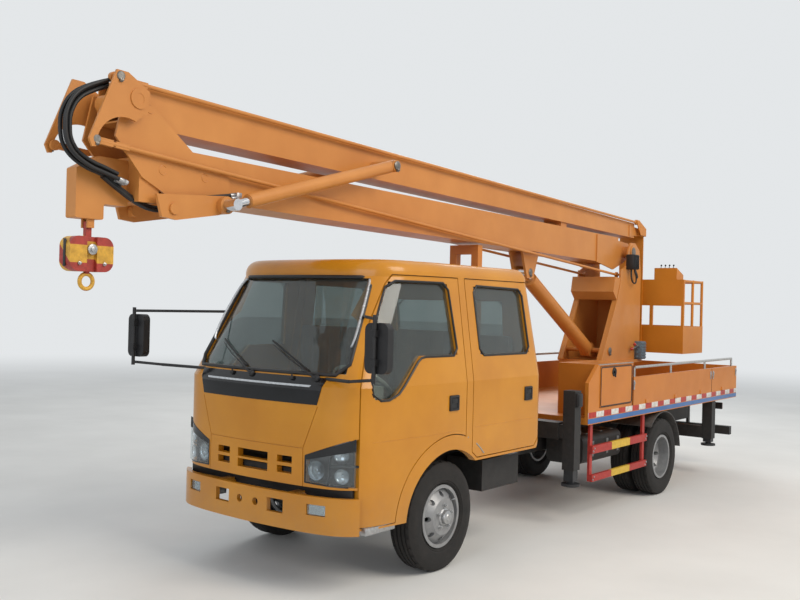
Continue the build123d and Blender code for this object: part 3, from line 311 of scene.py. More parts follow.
# Wheels: pressed steel discs in silver lacquer, held by hexagon nuts round a forged hub.
# The tyres are moulded black rubber with four grooves round the tread and cuts at its shoulders.
def spun(profile, place, axis, sides=48):
    """A turned piece: its half section, as (radius, along), spun round an axis."""
    bpy.ops.object.select_all(action="DESELECT")
    bpy.ops.mesh.primitive_plane_add(size=0.01)
    made = bpy.context.object
    bpy.ops.object.mode_set(mode="EDIT")
    bpy.ops.mesh.select_all(action="SELECT")
    bpy.ops.mesh.merge(type="CENTER")
    bpy.ops.transform.translate(value=(profile[0][0], 0, profile[0][1]))
    for (ra, ha), (rb, hb) in zip(profile, profile[1:]):
        bpy.ops.mesh.extrude_region_move(TRANSFORM_OT_translate={"value": (rb - ra, 0, hb - ha)})
    bpy.ops.mesh.select_all(action="SELECT")
    bpy.ops.mesh.spin(steps=sides, angle=2 * pi, center=(0, 0, 0), axis=(0, 0, 1))
    bpy.ops.mesh.select_all(action="SELECT")
    bpy.ops.mesh.remove_doubles(threshold=0.00005)
    bpy.ops.mesh.normals_make_consistent(inside=False)
    bpy.ops.object.mode_set(mode="OBJECT")
    turn = Vector(axis).to_track_quat("Z", "Y").to_matrix().to_4x4()
    made.data.transform(Matrix.Translation(at(*place)) @ turn)
    return made


def tyre_rubber():
    """Moulded rubber, greyed by road dust in uneven patches."""
    made, tree, place, shader = new_material("dusty tyre rubber")
    tone = ramp(tree, noise(tree, place, 70, 6, 0.7), (0.35, "#161514"), (0.72, "#25211f"))
    wire(shader, {"Base Color": tone, "Roughness": 0.82})
    bump(shader, noise(tree, place, 4, 3), 0.3, 0.6)
    return made


rubber = tyre_rubber()
silver = metal("silver wheel lacquer", "#9b9c9d", "#88898b", 0.35, 0.4, 80, 0.15)
zinc = metal("zinc-plated steel", "#b9babb", "#9fa0a1", 0.8, 0.32, 20, 0.1)
SIDES = (("left", 1), ("right", -1))
REAR_AXLE_Y = 3.815
TYRE_R = 0.3875
TYRE_HALF = 0.098
TYRE_STEPS = 96
SHOULDER_R, SHOULDER_HALF = 0.3855, 0.070
GROOVE_DEPTH = 0.009
wall = [(0.2255, -0.070), (0.228, -0.0735), (0.243, -0.090), (0.247, -0.088), (0.256, -0.096),
        (0.30, -TYRE_HALF), (0.325, -TYRE_HALF), (0.335, -0.0965), (0.352, -0.093), (0.372, -0.083),
        (0.3795, -0.080)]
tread = [*wall, (SHOULDER_R, -SHOULDER_HALF)]
for centre in (-0.052, -0.018, 0.018, 0.052):
    tread += [(TYRE_R, centre - 0.0062), (TYRE_R - GROOVE_DEPTH, centre - 0.0035),
              (TYRE_R - GROOVE_DEPTH, centre + 0.0035), (TYRE_R, centre + 0.0062)]
tread += [(SHOULDER_R, SHOULDER_HALF), *[(r, -h) for r, h in reversed(wall)], wall[0]]


def choose_faces(made, wanted):
    """Opens a mesh for editing with only the wanted faces selected."""
    pick(made)
    bpy.ops.object.mode_set(mode="EDIT")
    bpy.ops.mesh.select_all(action="DESELECT")
    bpy.ops.object.mode_set(mode="OBJECT")
    for face in made.data.polygons:
        face.select = wanted(face)
    bpy.ops.object.mode_set(mode="EDIT")


def ribbed_tyre(x, y, side):
    """One tyre, with short cuts at both shoulders of its tread."""
    made = spun(tread, (x, y, TYRE_R), (side, 0, 0), TYRE_STEPS)
    centre = at(x, y, TYRE_R)

    def in_cut(face):
        """Every third step of the shoulders."""
        middle = face.center - centre
        out = hypot(middle.y, middle.z)
        turn = round(atan2(middle.z, middle.y) / (2 * pi) * TYRE_STEPS - 0.5)
        return 0.377 < out < 0.3868 and abs(middle.x) > 0.055 and turn % 3 == 0

    choose_faces(made, in_cut)
    bpy.ops.mesh.inset(thickness=0.002, depth=-0.005)
    bpy.ops.object.mode_set(mode="OBJECT")
    return made


WHEEL_NUTS = 5
NUT_R = 0.0135


def nut_ring(y, side, face, ring_r):
    """Wheel nuts on a circle, each a hexagon on a washer with its stud's end."""
    pieces = []
    for i in range(WHEEL_NUTS):
        turn = 2 * pi * i / WHEEL_NUTS + 0.3
        cy, cz = y + ring_r * cos(turn), TYRE_R + ring_r * sin(turn)
        for reach, radius, sides, bevel in ((0.004, NUT_R * 1.3, 16, 0.001), (0.02, NUT_R, 6, 0.0015),
                                            (0.028, NUT_R * 0.5, 10, 0.001)):
            pieces.append(rod((face, cy, cz), (face + side * reach, cy, cz), radius, sides, bevel))
    return pieces


front_hub = [(0.0001, 0.046), (0.022, 0.046), (0.026, 0.042), (0.030, 0.040), (0.046, 0.036), (0.049, 0.030),
             (0.050, 0.012), (0.060, 0.006), (0.062, 0.0), (0.0001, 0.0)]
rear_hub = [(0.0001, 0.055), (0.060, 0.055), (0.066, 0.050), (0.068, 0.004), (0.080, 0.0), (0.0001, 0.0)]
for hand, side in SIDES:
    x = side * 0.752
    tyre = finished("front_tyre_" + hand, "front_wheel_" + hand, rubber, ribbed_tyre(x, 0, side))
    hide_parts("tyre_front_" + hand)
    finish_nodes(silver, "rim_front_" + hand, "rims_rear_" + hand)
    face = side * 0.858
    nuts = nut_ring(0, side, face, 0.082)
    hub = spun(front_hub, (face - side * 0.001, 0, TYRE_R), (side, 0, 0), 40)
    valve = rod((face - side * 0.02, 0.10, TYRE_R + 0.10), (face + side * 0.015, 0.115, TYRE_R + 0.112),
                0.004, 8)
    finished("front_hub_and_nuts_" + hand, "front_wheel_" + hand, zinc, hub, valve, *nuts)
    twin_in, twin_out = side * 0.6025, side * 0.8225
    pair = finished("twin_tyres_" + hand, "rear_wheels_" + hand, rubber,
                    ribbed_tyre(twin_in, REAR_AXLE_Y, side), ribbed_tyre(twin_out, REAR_AXLE_Y, side))
    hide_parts("tyres_rear_" + hand)
    face = twin_out - side * 0.094
    nuts = nut_ring(REAR_AXLE_Y, side, face, 0.092)
    hub = spun(rear_hub, (face - side * 0.001, REAR_AXLE_Y, TYRE_R), (side, 0, 0), 40)
    finished("rear_hub_and_nuts_" + hand, "rear_wheels_" + hand, zinc, hub, *nuts)


# Cab panels: pressed steel, spot-welded, then dipped and sprayed with a baked amber enamel.
# The finish is glossy with a faint orange-peel, and road dust gathers on its lower edge.
MIX_A, MIX_B, MIXED = 6, 7, 2  # the colour sockets of a mix node


def enamel(name, hex_clean, hex_dull, roughness=0.3, dust_top=0.75, coat=0.3):
    """Sprayed enamel over steel: cloudy tone, dust low down, a thin clear coat."""
    made, tree, place, shader = new_material(name)
    cloud = ramp(tree, noise(tree, place, 420, 4), (0.35, hex_dull), (0.68, hex_clean))
    height = add(tree, "SeparateXYZ", {"Vector": place}).outputs["Z"]
    low = add(tree, "MapRange", {"Value": height, "From Min": dust_top, "From Max": 0.25, "To Min": 0.0,
                                 "To Max": 0.55})
    speckle = add(tree, "Math", {"operation": "MULTIPLY", 0: low.outputs[0],
                                 1: noise(tree, place, 60, 6, 0.7)})
    dusty = add(tree, "Mix", {"data_type": "RGBA", 0: speckle.outputs[0], MIX_A: cloud,
                              MIX_B: linear("#8d7a62")})
    shine = add(tree, "MapRange", {"Value": noise(tree, place, 150, 5), "To Min": roughness - 0.06,
                                   "To Max": roughness + 0.12})
    wire(shader, {"Base Color": dusty.outputs[MIXED], "Roughness": shine.outputs[0],
                  "Specular IOR Level": 0.35, "Coat Weight": coat, "Coat Roughness": 0.08})
    bump(shader, noise(tree, place, 9, 2), 0.12, 0.5)
    return made


cab_enamel = enamel("baked amber enamel", "#c9871c", "#be7c17")
finish_nodes(cab_enamel, "cab_roof", "cab_front", "cab_rear", "cab_sides", "door_front_left",
             "door_front_right", "door_rear_left", "door_rear_right", "bumper")


# Windows: laminated and toughened glass, 6 mm, with a grey-green tint, held by black rubber profiles.
# The profiles are extruded, bent round each opening and pressed over the panel's edge.
FROM_FRONT, FROM_BACK, FROM_LEFT = (0, 1, 0), (0, -1, 0), (-1, 0, 0)


def tinted_glass():
    """Thin glass with a grey-green tint and faint smears."""
    made, tree, place, shader = new_material("tinted laminated glass")
    smear = ramp(tree, noise(tree, place, 300, 4), (0.3, "#93a09f"), (0.7, "#9eaaa9"))
    wire(shader, {"Base Color": smear, "Roughness": 0.02, "IOR": 1.15, "Transmission Weight": 0.94,
                  "Coat Weight": 0.8, "Coat Roughness": 0.02})
    return made


GRAIN_SHOWN = 3  # the grain is drawn three times as coarse as it is, so that it shows


def moulded_plastic(name, hex_light, hex_dark, roughness=0.5, grain_mm=1.6):
    """Moulded plastic or rubber with a fine leather-like grain."""
    made, tree, place, shader = new_material(name)
    tone = ramp(tree, noise(tree, place, 90, 4), (0.35, hex_dark), (0.65, hex_light))
    wire(shader, {"Base Color": tone, "Roughness": roughness})
    grain = add(tree, "TexVoronoi", {"Vector": place, "Scale": 1000 / grain_mm / GRAIN_SHOWN})
    bump(shader, grain.outputs["Distance"], 0.25, 0.6)
    return made


def tube(points, radius, closed=False, kind="NURBS", sides=3):
    """A round tube along points given from the front axle, made a mesh."""
    data = bpy.data.curves.new("tube", "CURVE")
    data.dimensions = "3D"
    line = data.splines.new(kind)
    line.points.add(len(points) - 1)
    for knot, point in zip(line.points, points):
        knot.co = (*at(*point), 1)
    line.use_cyclic_u = closed
    line.order_u = 3
    line.use_endpoint_u = not closed
    data.resolution_u = 8
    data.bevel_depth = radius
    data.bevel_resolution = sides
    data.use_fill_caps = not closed
    made = bpy.data.objects.new("tube", data)
    bpy.context.scene.collection.objects.link(made)
    pick(made)
    bpy.ops.object.convert(target="MESH")
    return bpy.context.object


def on_skin(names, start, direction=FROM_FRONT):
    """Where a line first meets one of some nodes, given from the front axle."""
    nearest = None
    for name in names:
        found, place, normal, face = nodes[name].ray_cast(at(*start), Vector(direction))
        if found and (nearest is None or (place - at(*start)).length < (nearest - at(*start)).length):
            nearest = place
    return None if nearest is None else nearest - at(0, 0, 0)


def trim(names, outline, direction, radius, closed=True, step=0.04, lift=0.0):
    """A tube laid on the skin along an outline seen in one direction."""
    points = []
    ends = outline + outline[:1] if closed else outline
    for a, b in zip(ends, ends[1:]):
        a, b = Vector(a), Vector(b)
        count = max(1, round((b - a).length / step))
        for i in range(count if closed or b != Vector(ends[-1]) else count + 1):
            place = on_skin(names, a.lerp(b, i / count), direction)
            if place:
                points.append(place - Vector(direction) * lift)
    return tube(points, radius, closed, "POLY", 2)


def rounded(outline, reach=0.05):
    """The outline with each corner cut twice, so that it bends softly."""
    soft = []
    for i, corner in enumerate(outline):
        before, after = Vector(outline[i - 1]), Vector(outline[(i + 1) % len(outline)])
        here = Vector(corner)
        back = here + (before - here).normalized() * reach
        on = here + (after - here).normalized() * reach
        soft += [tuple(back), tuple(here.lerp((back + on) / 2, 0.45)), tuple(on)]
    return soft


black_plastic = moulded_plastic("black moulded polypropylene", "#19191b", "#111113")
grey_plastic = moulded_plastic("grey moulded polypropylene", "#a5a399", "#93918a")
window_rubber = moulded_plastic("black extruded rubber", "#1b1a1a", "#131212", 0.45)
PANES = ("cab_glass", "glass_front_left", "glass_front_right", "glass_rear_left", "glass_rear_right")
finish_nodes(tinted_glass(), *PANES)
for name in PANES:
    nodes[name].visible_shadow = False
FRONT_PANE = [(-0.821, 1.330), (-0.661, 1.770), (-0.514, 2.043), (0.035, 2.043), (0.086, 1.529),
              (-0.330, 1.529), (-0.613, 1.256), (-0.789, 1.256)]
REAR_PANE = [(0.376, 1.521), (0.361, 2.036), (1.063, 2.026), (1.096, 1.521)]
for hand, side in SIDES:
    for door, pane in (("front", FRONT_PANE), ("rear", REAR_PANE)):
        outline = rounded([(side * 1.4, y, z) for y, z in pane])
        strip = trim(["door_" + door + "_" + hand], outline, (-side, 0, 0), 0.0085)
        finished("window_rubber_" + door + "_" + hand, door + "_door_" + hand, window_rubber, strip)
screen = rounded([(-0.714, -2, 1.416), (-0.619, -2, 2.063), (0.619, -2, 2.063), (0.714, -2, 1.416)], 0.07)
back = rounded([(-0.568, 2, 1.472), (-0.568, 2, 1.938), (0.568, 2, 1.938), (0.568, 2, 1.472)], 0.07)
finished("screen_rubbers", "chassis", window_rubber,
         trim(["cab_front", "cab_roof"], screen, FROM_FRONT, 0.013),
         trim(["cab_rear"], back, FROM_BACK, 0.012))


# Nose: a black gloss panel under the windscreen with a bright strip, washer jets and two wipers.
# The panel is moulded and clipped on, and the wipers' arms are pressed steel, painted black.
# A plain black panel closes the gap above the bumper.
def patch(names, corners, across, rise, lift, thick, direction=FROM_FRONT):
    """A thin panel that lies on the skin between four corners: low left, low right, high right, high left."""
    bpy.ops.object.select_all(action="DESELECT")
    bpy.ops.mesh.primitive_grid_add(x_subdivisions=across, y_subdivisions=rise, size=2)
    made = bpy.context.object
    low_a, low_b, high_b, high_a = [Vector(corner) for corner in corners]
    place = None
    for vertex in made.data.vertices:
        u, v = (vertex.co.x + 1) / 2, (vertex.co.y + 1) / 2
        start = low_a.lerp(low_b, u).lerp(high_a.lerp(high_b, u), v)
        met = on_skin(names, start, direction)
        place = met or start + Vector(direction) * (place - start).dot(Vector(direction))
        vertex.co = at(*(place - Vector(direction) * lift))
    apply_modifier(made, "SOLIDIFY", thickness=thick, offset=0)
    bpy.ops.object.mode_set(mode="EDIT")
    bpy.ops.mesh.select_all(action="SELECT")
    bpy.ops.mesh.normals_make_consistent(inside=False)
    bpy.ops.object.mode_set(mode="OBJECT")
    return made


gloss_black = moulded_plastic("gloss black acrylic panel", "#17181b", "#101113", 0.12, 3)
bright_trim = metal("bright anodised strip", "#c9cccf", "#b5b9bc", 0.6, 0.25, 30, 0.05)
NOSE = ["cab_front", "lamps", "door_front_left", "door_front_right"]
GLASS = ["cab_glass", "cab_front"]
band = patch(NOSE, [(-0.548, -2, 1.222), (0.548, -2, 1.222), (0.600, -2, 1.396), (-0.600, -2, 1.396)],
             48, 6, 0.001, 0.005)
finished("nose_panel", "chassis", gloss_black, band)
strip = patch(NOSE, [(-0.49, -2, 1.334), (0.49, -2, 1.334), (0.50, -2, 1.347), (-0.50, -2, 1.347)],
              40, 1, 0.004, 0.006)
finished("nose_bright_strip", "chassis", bright_trim, strip)
wipers = []
for x in (-0.24, 0.33):
    jet = on_skin(NOSE, (x, -2, 1.385))
    wipers.append(block(jet + Vector((-0.016, -0.022, -0.010)), jet + Vector((0.016, 0.0, 0.012)), 0.004))
    wipers.append(rod(jet + Vector((0, -0.012, 0.01)), jet + Vector((0, -0.012, 0.022)), 0.006, 10))
BLADE_POINTS = 9
for x, tip_x, tip_z in ((-0.045, -0.50, 1.60), (0.525, 0.02, 1.61)):
    foot = on_skin(NOSE, (x, -2, 1.392)) + Vector((0, -0.022, 0))
    tip = on_skin(GLASS, (tip_x, -2, tip_z)) + Vector((0, -0.05, 0))
    middle = foot.lerp(tip, 0.56) + Vector((0, -0.016, 0))
    wipers.append(spun([(0.0001, 0.024), (0.014, 0.024), (0.022, 0.016), (0.024, 0.0), (0.0001, 0.0)],
                       foot + Vector((0, 0.02, 0)), FROM_BACK, 20))
    wipers.append(rod(foot, foot.lerp(tip, 0.3), 0.008, 8))
    wipers.append(rod(foot.lerp(tip, 0.28), middle, 0.0045, 8))
    for share in (0.12, 0.5, 0.88):
        clip = foot.lerp(tip, 0.20).lerp(tip, share)
        wipers.append(rod(clip, middle, 0.0035, 6))
    blade = []
    for i in range(BLADE_POINTS):
        along = foot.lerp(tip, 0.2 + 0.8 * i / (BLADE_POINTS - 1))
        lying = on_skin(GLASS, (along.x, -2, along.z)) or along
        blade.append(lying + Vector((0, -0.016 if lying.z > 1.43 else -0.03, 0.003)))
    wipers.append(tube(blade, 0.007, False, "POLY", 2))
finished("wipers_and_jets", "chassis", black_plastic, *wipers)
gap_panel = block((-0.775, -0.915, 0.615), (0.775, -0.885, 0.705), 0.004)
finished("bumper_gap_panel", "chassis", black_plastic, gap_panel)


# Headlamps: clear moulded lenses over chrome bowls in a black housing, flush with the cab's corners.
# The lens hugs the bodywork, so its panes are laid on the skin of the lamp's own solid.
# The fog lamps are made in the same way, and the tail lamps are coloured lenses in a moulded box.
def clear_lens(name, hex_tone, clear=0.96, roughness=0.03):
    """A clear or tinted moulded lens with a glossy coat."""
    made, tree, place, shader = new_material(name)
    wire(shader, {"Base Color": linear(hex_tone), "Roughness": roughness, "IOR": 1.2,
                  "Transmission Weight": clear, "Coat Weight": 0.6})
    return made


def ahead_of(side, *points):
    """Points ahead of the cab on one side, from their places along X and Z on the left."""
    return [(side * x, -2, z) for x, z in points]


lens = clear_lens("clear polycarbonate lens", "#dfe6e8")
amber_lens = clear_lens("amber acrylic lens", "#d98a2a", 0.5, 0.12)
red_lens = clear_lens("red acrylic lens", "#a52318", 0.3, 0.15)
mirror_chrome = metal("vacuum-plated reflector", "#cfd3d6", "#b9bdc1", 0.95, 0.1, 12, 0.02)
LAMP_SKIN = ["lamps", "cab_front"]
LAMP_IN, LAMP_OUT = 0.468, 0.803
TOP_IN, TOP_OUT = 0.890, 1.016
BOWLS = [(0.545, 0.800, 0.064), (0.545, 0.800, 0.034), (0.715, 0.905, 0.052), (0.720, 0.775, 0.050)]
TAIL = [("stop", 0.562, 0.632, red_lens), ("turn", 0.636, 0.704, amber_lens),
        ("rear", 0.708, 0.778, red_lens)]
for hand, side in SIDES:
    corners = ahead_of(side, (LAMP_IN, 0.718), (LAMP_OUT, 0.706), (LAMP_OUT, TOP_OUT), (LAMP_IN, TOP_IN))
    back = patch(LAMP_SKIN, corners, 14, 8, -0.046, 0.003)
    finished("headlamp_back_" + hand, "chassis", black_plastic, back)
    pane = patch(LAMP_SKIN, corners, 14, 8, -0.002, 0.0025)
    finished("headlamp_lens_" + hand, "chassis", lens, pane)
    wedge = ahead_of(side, (LAMP_IN, TOP_IN - 0.028), (LAMP_OUT, TOP_OUT - 0.075),
                     (LAMP_OUT, TOP_OUT + 0.002), (LAMP_IN, TOP_IN + 0.002))
    rims = [patch(LAMP_SKIN, wedge, 14, 2, 0.0, 0.004)]
    for a, b in zip(corners, corners[1:] + corners[:1]):
        rims.append(trim(LAMP_SKIN, [a, b], FROM_FRONT, 0.005, False))
    mullion = ahead_of(side, (0.628, 0.716), (0.636, 0.716), (0.655, 0.945), (0.645, 0.945))
    rims.append(patch(LAMP_SKIN, mullion, 1, 6, -0.012, 0.012))
    crossbar = ahead_of(side, (0.645, 0.833), (0.800, 0.833), (0.800, 0.848), (0.645, 0.848))
    rims.append(patch(LAMP_SKIN, crossbar, 6, 1, -0.012, 0.012))
    finished("headlamp_frame_" + hand, "chassis", gloss_black, *rims)
    bowls = []
    for x, z, r in BOWLS:
        place = on_skin(LAMP_SKIN, (side * x, -2, z)) + Vector((0, 0.010, 0))
        facing = Vector((side * (0.16 if x < 0.6 else 0.42), -1, 0)).normalized()
        section = [(r, 0.0), (r * 0.99, -0.004), (r * 0.86, -0.014), (r * 0.62, -0.024), (r * 0.3, -0.030),
                   (0.010, -0.031), (0.009, -0.012), (0.0001, -0.008)]
        bowls.append(spun(section, place, facing, 28))
    finished("headlamp_bowls_" + hand, "chassis", mirror_chrome, *bowls)
    fog = ahead_of(side, (0.520, 0.524), (0.650, 0.524), (0.650, 0.586), (0.520, 0.586))
    for use, material, lift in (("lens", lens, 0.002), ("bowl", mirror_chrome, -0.008)):
        pane = patch(["lamps"], fog, 10, 3, lift, 0.003)
        finished("fog_lamp_" + use + "_" + hand, "chassis", material, pane)
    housing = block((side * 0.56, 6.000, 0.700), (side * 0.78, 6.026, 0.780), 0.004)
    stem = block((side * 0.65, 6.012, 0.778), (side * 0.69, 6.028, 0.858), 0.002)
    shell = finished("tail_lamp_housing_" + hand, "chassis", black_plastic, housing, stem)
    for use, x0, x1, colour in TAIL:
        pane = block((side * x0, 6.024, 0.704), (side * x1, 6.040, 0.776), 0.006)
        finished(use + "_lens_" + hand, "chassis", colour, pane)
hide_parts("lamps")


# Inside the cab: a moulded dashboard with its dials, a rubber mat and foam seats in woven cloth.
# The foam is cut and glued, and the covers are sewn from panels with piped seams pulled over it.
def woven_cloth(name, hex_light, hex_dark, thread_mm=5.0):
    """Plain weave: two sets of threads that cross, coarser than real so that they show."""
    made, tree, place, shader = new_material(name)
    split = add(tree, "SeparateXYZ", {"Vector": place})
    threads = []
    for axes in (("X", "Z"), ("Y", "Z")):
        along = add(tree, "Math", {"operation": "ADD", 0: split.outputs[axes[0]], 1: split.outputs[axes[1]]})
        waves = add(tree, "Math", {"operation": "MULTIPLY", 0: along.outputs[0], 1: 2000 * pi / thread_mm})
        threads.append(add(tree, "Math", {"operation": "SINE", 0: waves.outputs[0]}))
    weave = add(tree, "Math", {"operation": "MULTIPLY", 0: threads[0].outputs[0], 1: threads[1].outputs[0]})
    worn = noise(tree, place, 60, 5, 0.6)
    mixed = add(tree, "Math", {"operation": "MULTIPLY_ADD", 0: weave.outputs[0], 1: 0.12, 2: worn})
    tone = ramp(tree, mixed.outputs[0], (0.32, hex_dark), (0.68, hex_light))
    wire(shader, {"Base Color": tone, "Roughness": 0.9, "Sheen Weight": 0.35, "Sheen Roughness": 0.5})
    bump(shader, weave.outputs[0], 0.6, 0.6)
    return made


WIDE = 0  # a pad's axis from side to side
CROWN = 0.016
PULL_IN = 0.004
WAIST = 0.010
CHANNEL_DEPTH = 0.011
CHANNEL_WIDTH = 0.035  # as a share of the pad's half width


def pad(name, low, high, thin, channels):
    """A foam pad: crowned where it isn't held, round at its edges, with sewn channels and a piped seam."""
    bpy.ops.object.select_all(action="DESELECT")
    bpy.ops.mesh.primitive_cube_add(size=2)
    made = bpy.context.object
    bpy.ops.object.mode_set(mode="EDIT")
    bpy.ops.mesh.select_all(action="SELECT")
    bpy.ops.mesh.subdivide(number_cuts=23)
    bpy.ops.object.mode_set(mode="OBJECT")
    low, high = at(*low), at(*high)
    middle, half = (low + high) / 2, (high - low) / 2
    round_r = min(half) * 0.62
    tall = 3 - thin
    for vertex in made.data.vertices:
        unit = vertex.co.copy()
        point = Vector([unit[i] * (half[i] - (CROWN if i == thin else PULL_IN)) for i in range(3)])
        core = Vector([max(-half[i] + round_r, min(half[i] - round_r, point[i])) for i in range(3)])
        out = point - core
        if out.length > 0:
            point = core + out.normalized() * min(round_r, out.length)
        point[thin] += CROWN * (1 - unit[WIDE] ** 2) * (1 - unit[tall] ** 2) * unit[thin]
        point[WIDE] -= WAIST * unit[WIDE] * (1 - abs(unit[tall])) * abs(unit[WIDE])
        for channel in channels:
            groove = CHANNEL_DEPTH * exp(-((unit[WIDE] - channel) / CHANNEL_WIDTH) ** 2)
            point[thin] -= groove * unit[thin] * (abs(unit[thin]) > 0.9) * min(1, 3 * (1 - abs(unit[tall])))
        vertex.co = middle + point
    bpy.ops.object.shade_smooth()
    seam = []
    edge = half[thin] - round_r * 0.55
    for a, b in ((-1, -1), (1, -1), (1, 1), (-1, 1)):
        corner = [0.0, 0.0, 0.0]
        corner[WIDE] = a * (half[WIDE] - round_r * 0.30)
        corner[tall] = b * (half[tall] - round_r * 0.30)
        corner[thin] = edge
        seam.append(tuple(middle + Vector(corner) - at(0, 0, 0)))
    piping = tube(rounded(seam, 0.06), 0.005, True)
    cover = finished(name, "chassis", seat_cloth, made, piping)
    return cover


seat_cloth = woven_cloth("brown woven seat cloth", "#7d5f4b", "#5c4436")
finish_nodes(moulded_plastic("dark ribbed rubber mat", "#3a3938", "#2c2b2b", 0.8, 4), "cab_floor")
finish_nodes(grey_plastic, "dashboard")
SEAT_HALF = 0.225
SEAT_CHANNELS, BENCH_CHANNELS = (-0.42, 0.42), (-0.66, -0.33, 0.0, 0.33, 0.66)
for i, x in enumerate((-0.5, 0.0, 0.5)):
    cushion = pad("front_seat_cushion_%d" % i, (x - SEAT_HALF, -0.330, 0.930), (x + SEAT_HALF, 0.130, 1.110),
                  2, SEAT_CHANNELS)
    pad("front_seat_back_%d" % i, (x - SEAT_HALF, 0.130, 1.060), (x + SEAT_HALF, 0.235, 1.700),
        1, SEAT_CHANNELS)
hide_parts("seats")
pad("rear_seat_cushion", (-0.70, 0.660, 0.840), (0.70, 1.070, 1.130), 2, BENCH_CHANNELS)
pad("rear_seat_back", (-0.70, 1.070, 0.900), (0.70, 1.170, 1.650), 1, BENCH_CHANNELS)
hood = block((0.27, -0.88, 1.325), (0.69, -0.70, 1.405), 0.022)
VENT_X = (-0.60, -0.08, 0.12)
vents = [block((x - 0.075, -0.626, 1.235), (x + 0.075, -0.612, 1.300), 0.006) for x in VENT_X]
slats = [block((x - 0.068, -0.616, z), (x + 0.068, -0.606, z + 0.004), 0.001)
         for x in VENT_X for z in (1.247, 1.260, 1.273, 1.286)]
finished("dial_hood_and_vents", "chassis", black_plastic, hood, *vents, *slats)
dials = []
for x, r in ((0.40, 0.045), (0.56, 0.045), (0.48, 0.022)):
    dials.append(spun([(0.0001, 0.003), (r * 0.9, 0.003), (r, 0.008), (r, 0.0), (0.0001, 0.0)],
                      (x, -0.701, 1.365 if r > 0.03 else 1.350), (0, 1, 0), 32))
finished("dials", "chassis", zinc, *dials)


# Door fittings: black moulded handle cups, pressed creases, bright grab bars and a plated step.
# A grey moulded lip edges the arch over each front wheel.
# The mirrors are black shells with silvered glass in them, held on painted tube arms.
def cup_handle(y, z):
    """One pull handle: a dished bezel with a hinged paddle in it."""
    bezel = block((0.900, y - 0.057, z - 0.055), (0.929, y + 0.057, z + 0.055), 0.008)
    choose_faces(bezel, lambda face: face.normal.x > 0.99)
    bpy.ops.mesh.inset(thickness=0.007, depth=0)
    bpy.ops.mesh.inset(thickness=0.004, depth=-0.008)
    bpy.ops.object.mode_set(mode="OBJECT")
    paddle = block((0.915, y - 0.034, z - 0.002), (0.9265, y + 0.034, z + 0.032), 0.003)
    return [bezel, paddle]


for door, y, z, crease in (("front", 0.010, 1.197, [(1.4, -0.80, 0.990), (1.4, 0.225, 0.998)]),
                           ("rear", 1.045, 1.205, [(1.4, 0.300, 1.003), (1.4, 1.170, 1.004)])):
    handle = finished(door + "_handle_left", door + "_door_left", black_plastic, *cup_handle(y, z))
    mirrored(handle, door + "_door_right")
    line = trim(["door_" + door + "_left"], crease, FROM_LEFT, 0.0035, False, 0.05, -0.001)
    mirrored(finished(door + "_crease_left", door + "_door_left", cab_enamel, line), door + "_door_right")
TREADS = 10
step = [block((0.790, -0.86, 0.400), (0.858, -0.56, 0.448), 0.006)]
step += [block((0.798, -0.85 + 0.029 * i, 0.4475), (0.850, -0.838 + 0.029 * i, 0.4515), 0.001)
         for i in range(TREADS)]
bar_a, bar_b = Vector((0.690, -0.835, 1.60)), Vector((0.625, -0.590, 2.050))
bars = [tube([bar_a + Vector((-0.03, 0.02, 0)), bar_a, bar_b, bar_b + Vector((-0.03, 0.02, 0))], 0.009)]
ARCH_R, ARCH_POINTS = 0.585, 25
lip = []
for i in range(ARCH_POINTS):
    turn = radians(8 + 148 * i / (ARCH_POINTS - 1))
    met = on_skin(["door_front_left", "cab_sides", "door_rear_left"],
                  (1.4, ARCH_R * cos(turn), TYRE_R + ARCH_R * sin(turn)), FROM_LEFT)
    if met:
        lip.append(met)
steps = finished("plated_step_left", "chassis", zinc, *step)
grabs = finished("grab_bar_left", "chassis", bright_trim, *bars)
arch = finished("arch_lip_left", "chassis", grey_plastic, tube(lip, 0.0055, False, "POLY", 2))
for piece in (steps, grabs, arch):
    mirrored(piece, "chassis")
finish_nodes(black_plastic, "mirrors")
glasses = []
for x, y in ((1.0, -0.75), (-1.15, -0.94)):
    corners = [(x - 0.070, y, 1.475), (x + 0.070, y, 1.475), (x + 0.070, y, 1.740), (x - 0.070, y, 1.740)]
    glasses.append(patch(["mirrors"], corners, 4, 6, 0.0015, 0.002, FROM_BACK))
finished("mirror_glasses", "chassis", mirror_chrome, *glasses)


# Deck, lockers and rails: folded sheet in a deeper orange, rails of brushed stainless tube.
# A blue painted line and red and white reflecting tape run along both sides.
deck_enamel = enamel("sprayed orange enamel", "#c97c2c", "#be7225", 0.38, 0.75, 0.15)
finish_nodes(deck_enamel, "deck", "tool_box", "tool_door_left", "tool_door_right")


def brushed_steel(name, hex_light, hex_dark, roughness=0.28):
    """Bare steel, brushed or ground: a bright metal whose gloss varies in fine patches."""
    made, tree, place, shader = new_material(name)
    tone = ramp(tree, noise(tree, place, 25, 4), (0.35, hex_dark), (0.65, hex_light))
    shine = add(tree, "MapRange", {"Value": noise(tree, place, 8, 5, 0.7), "To Min": roughness - 0.08,
                                   "To Max": roughness + 0.12})
    wire(shader, {"Base Color": tone, "Metallic": 1.0, "Roughness": shine.outputs[0]})
    return made


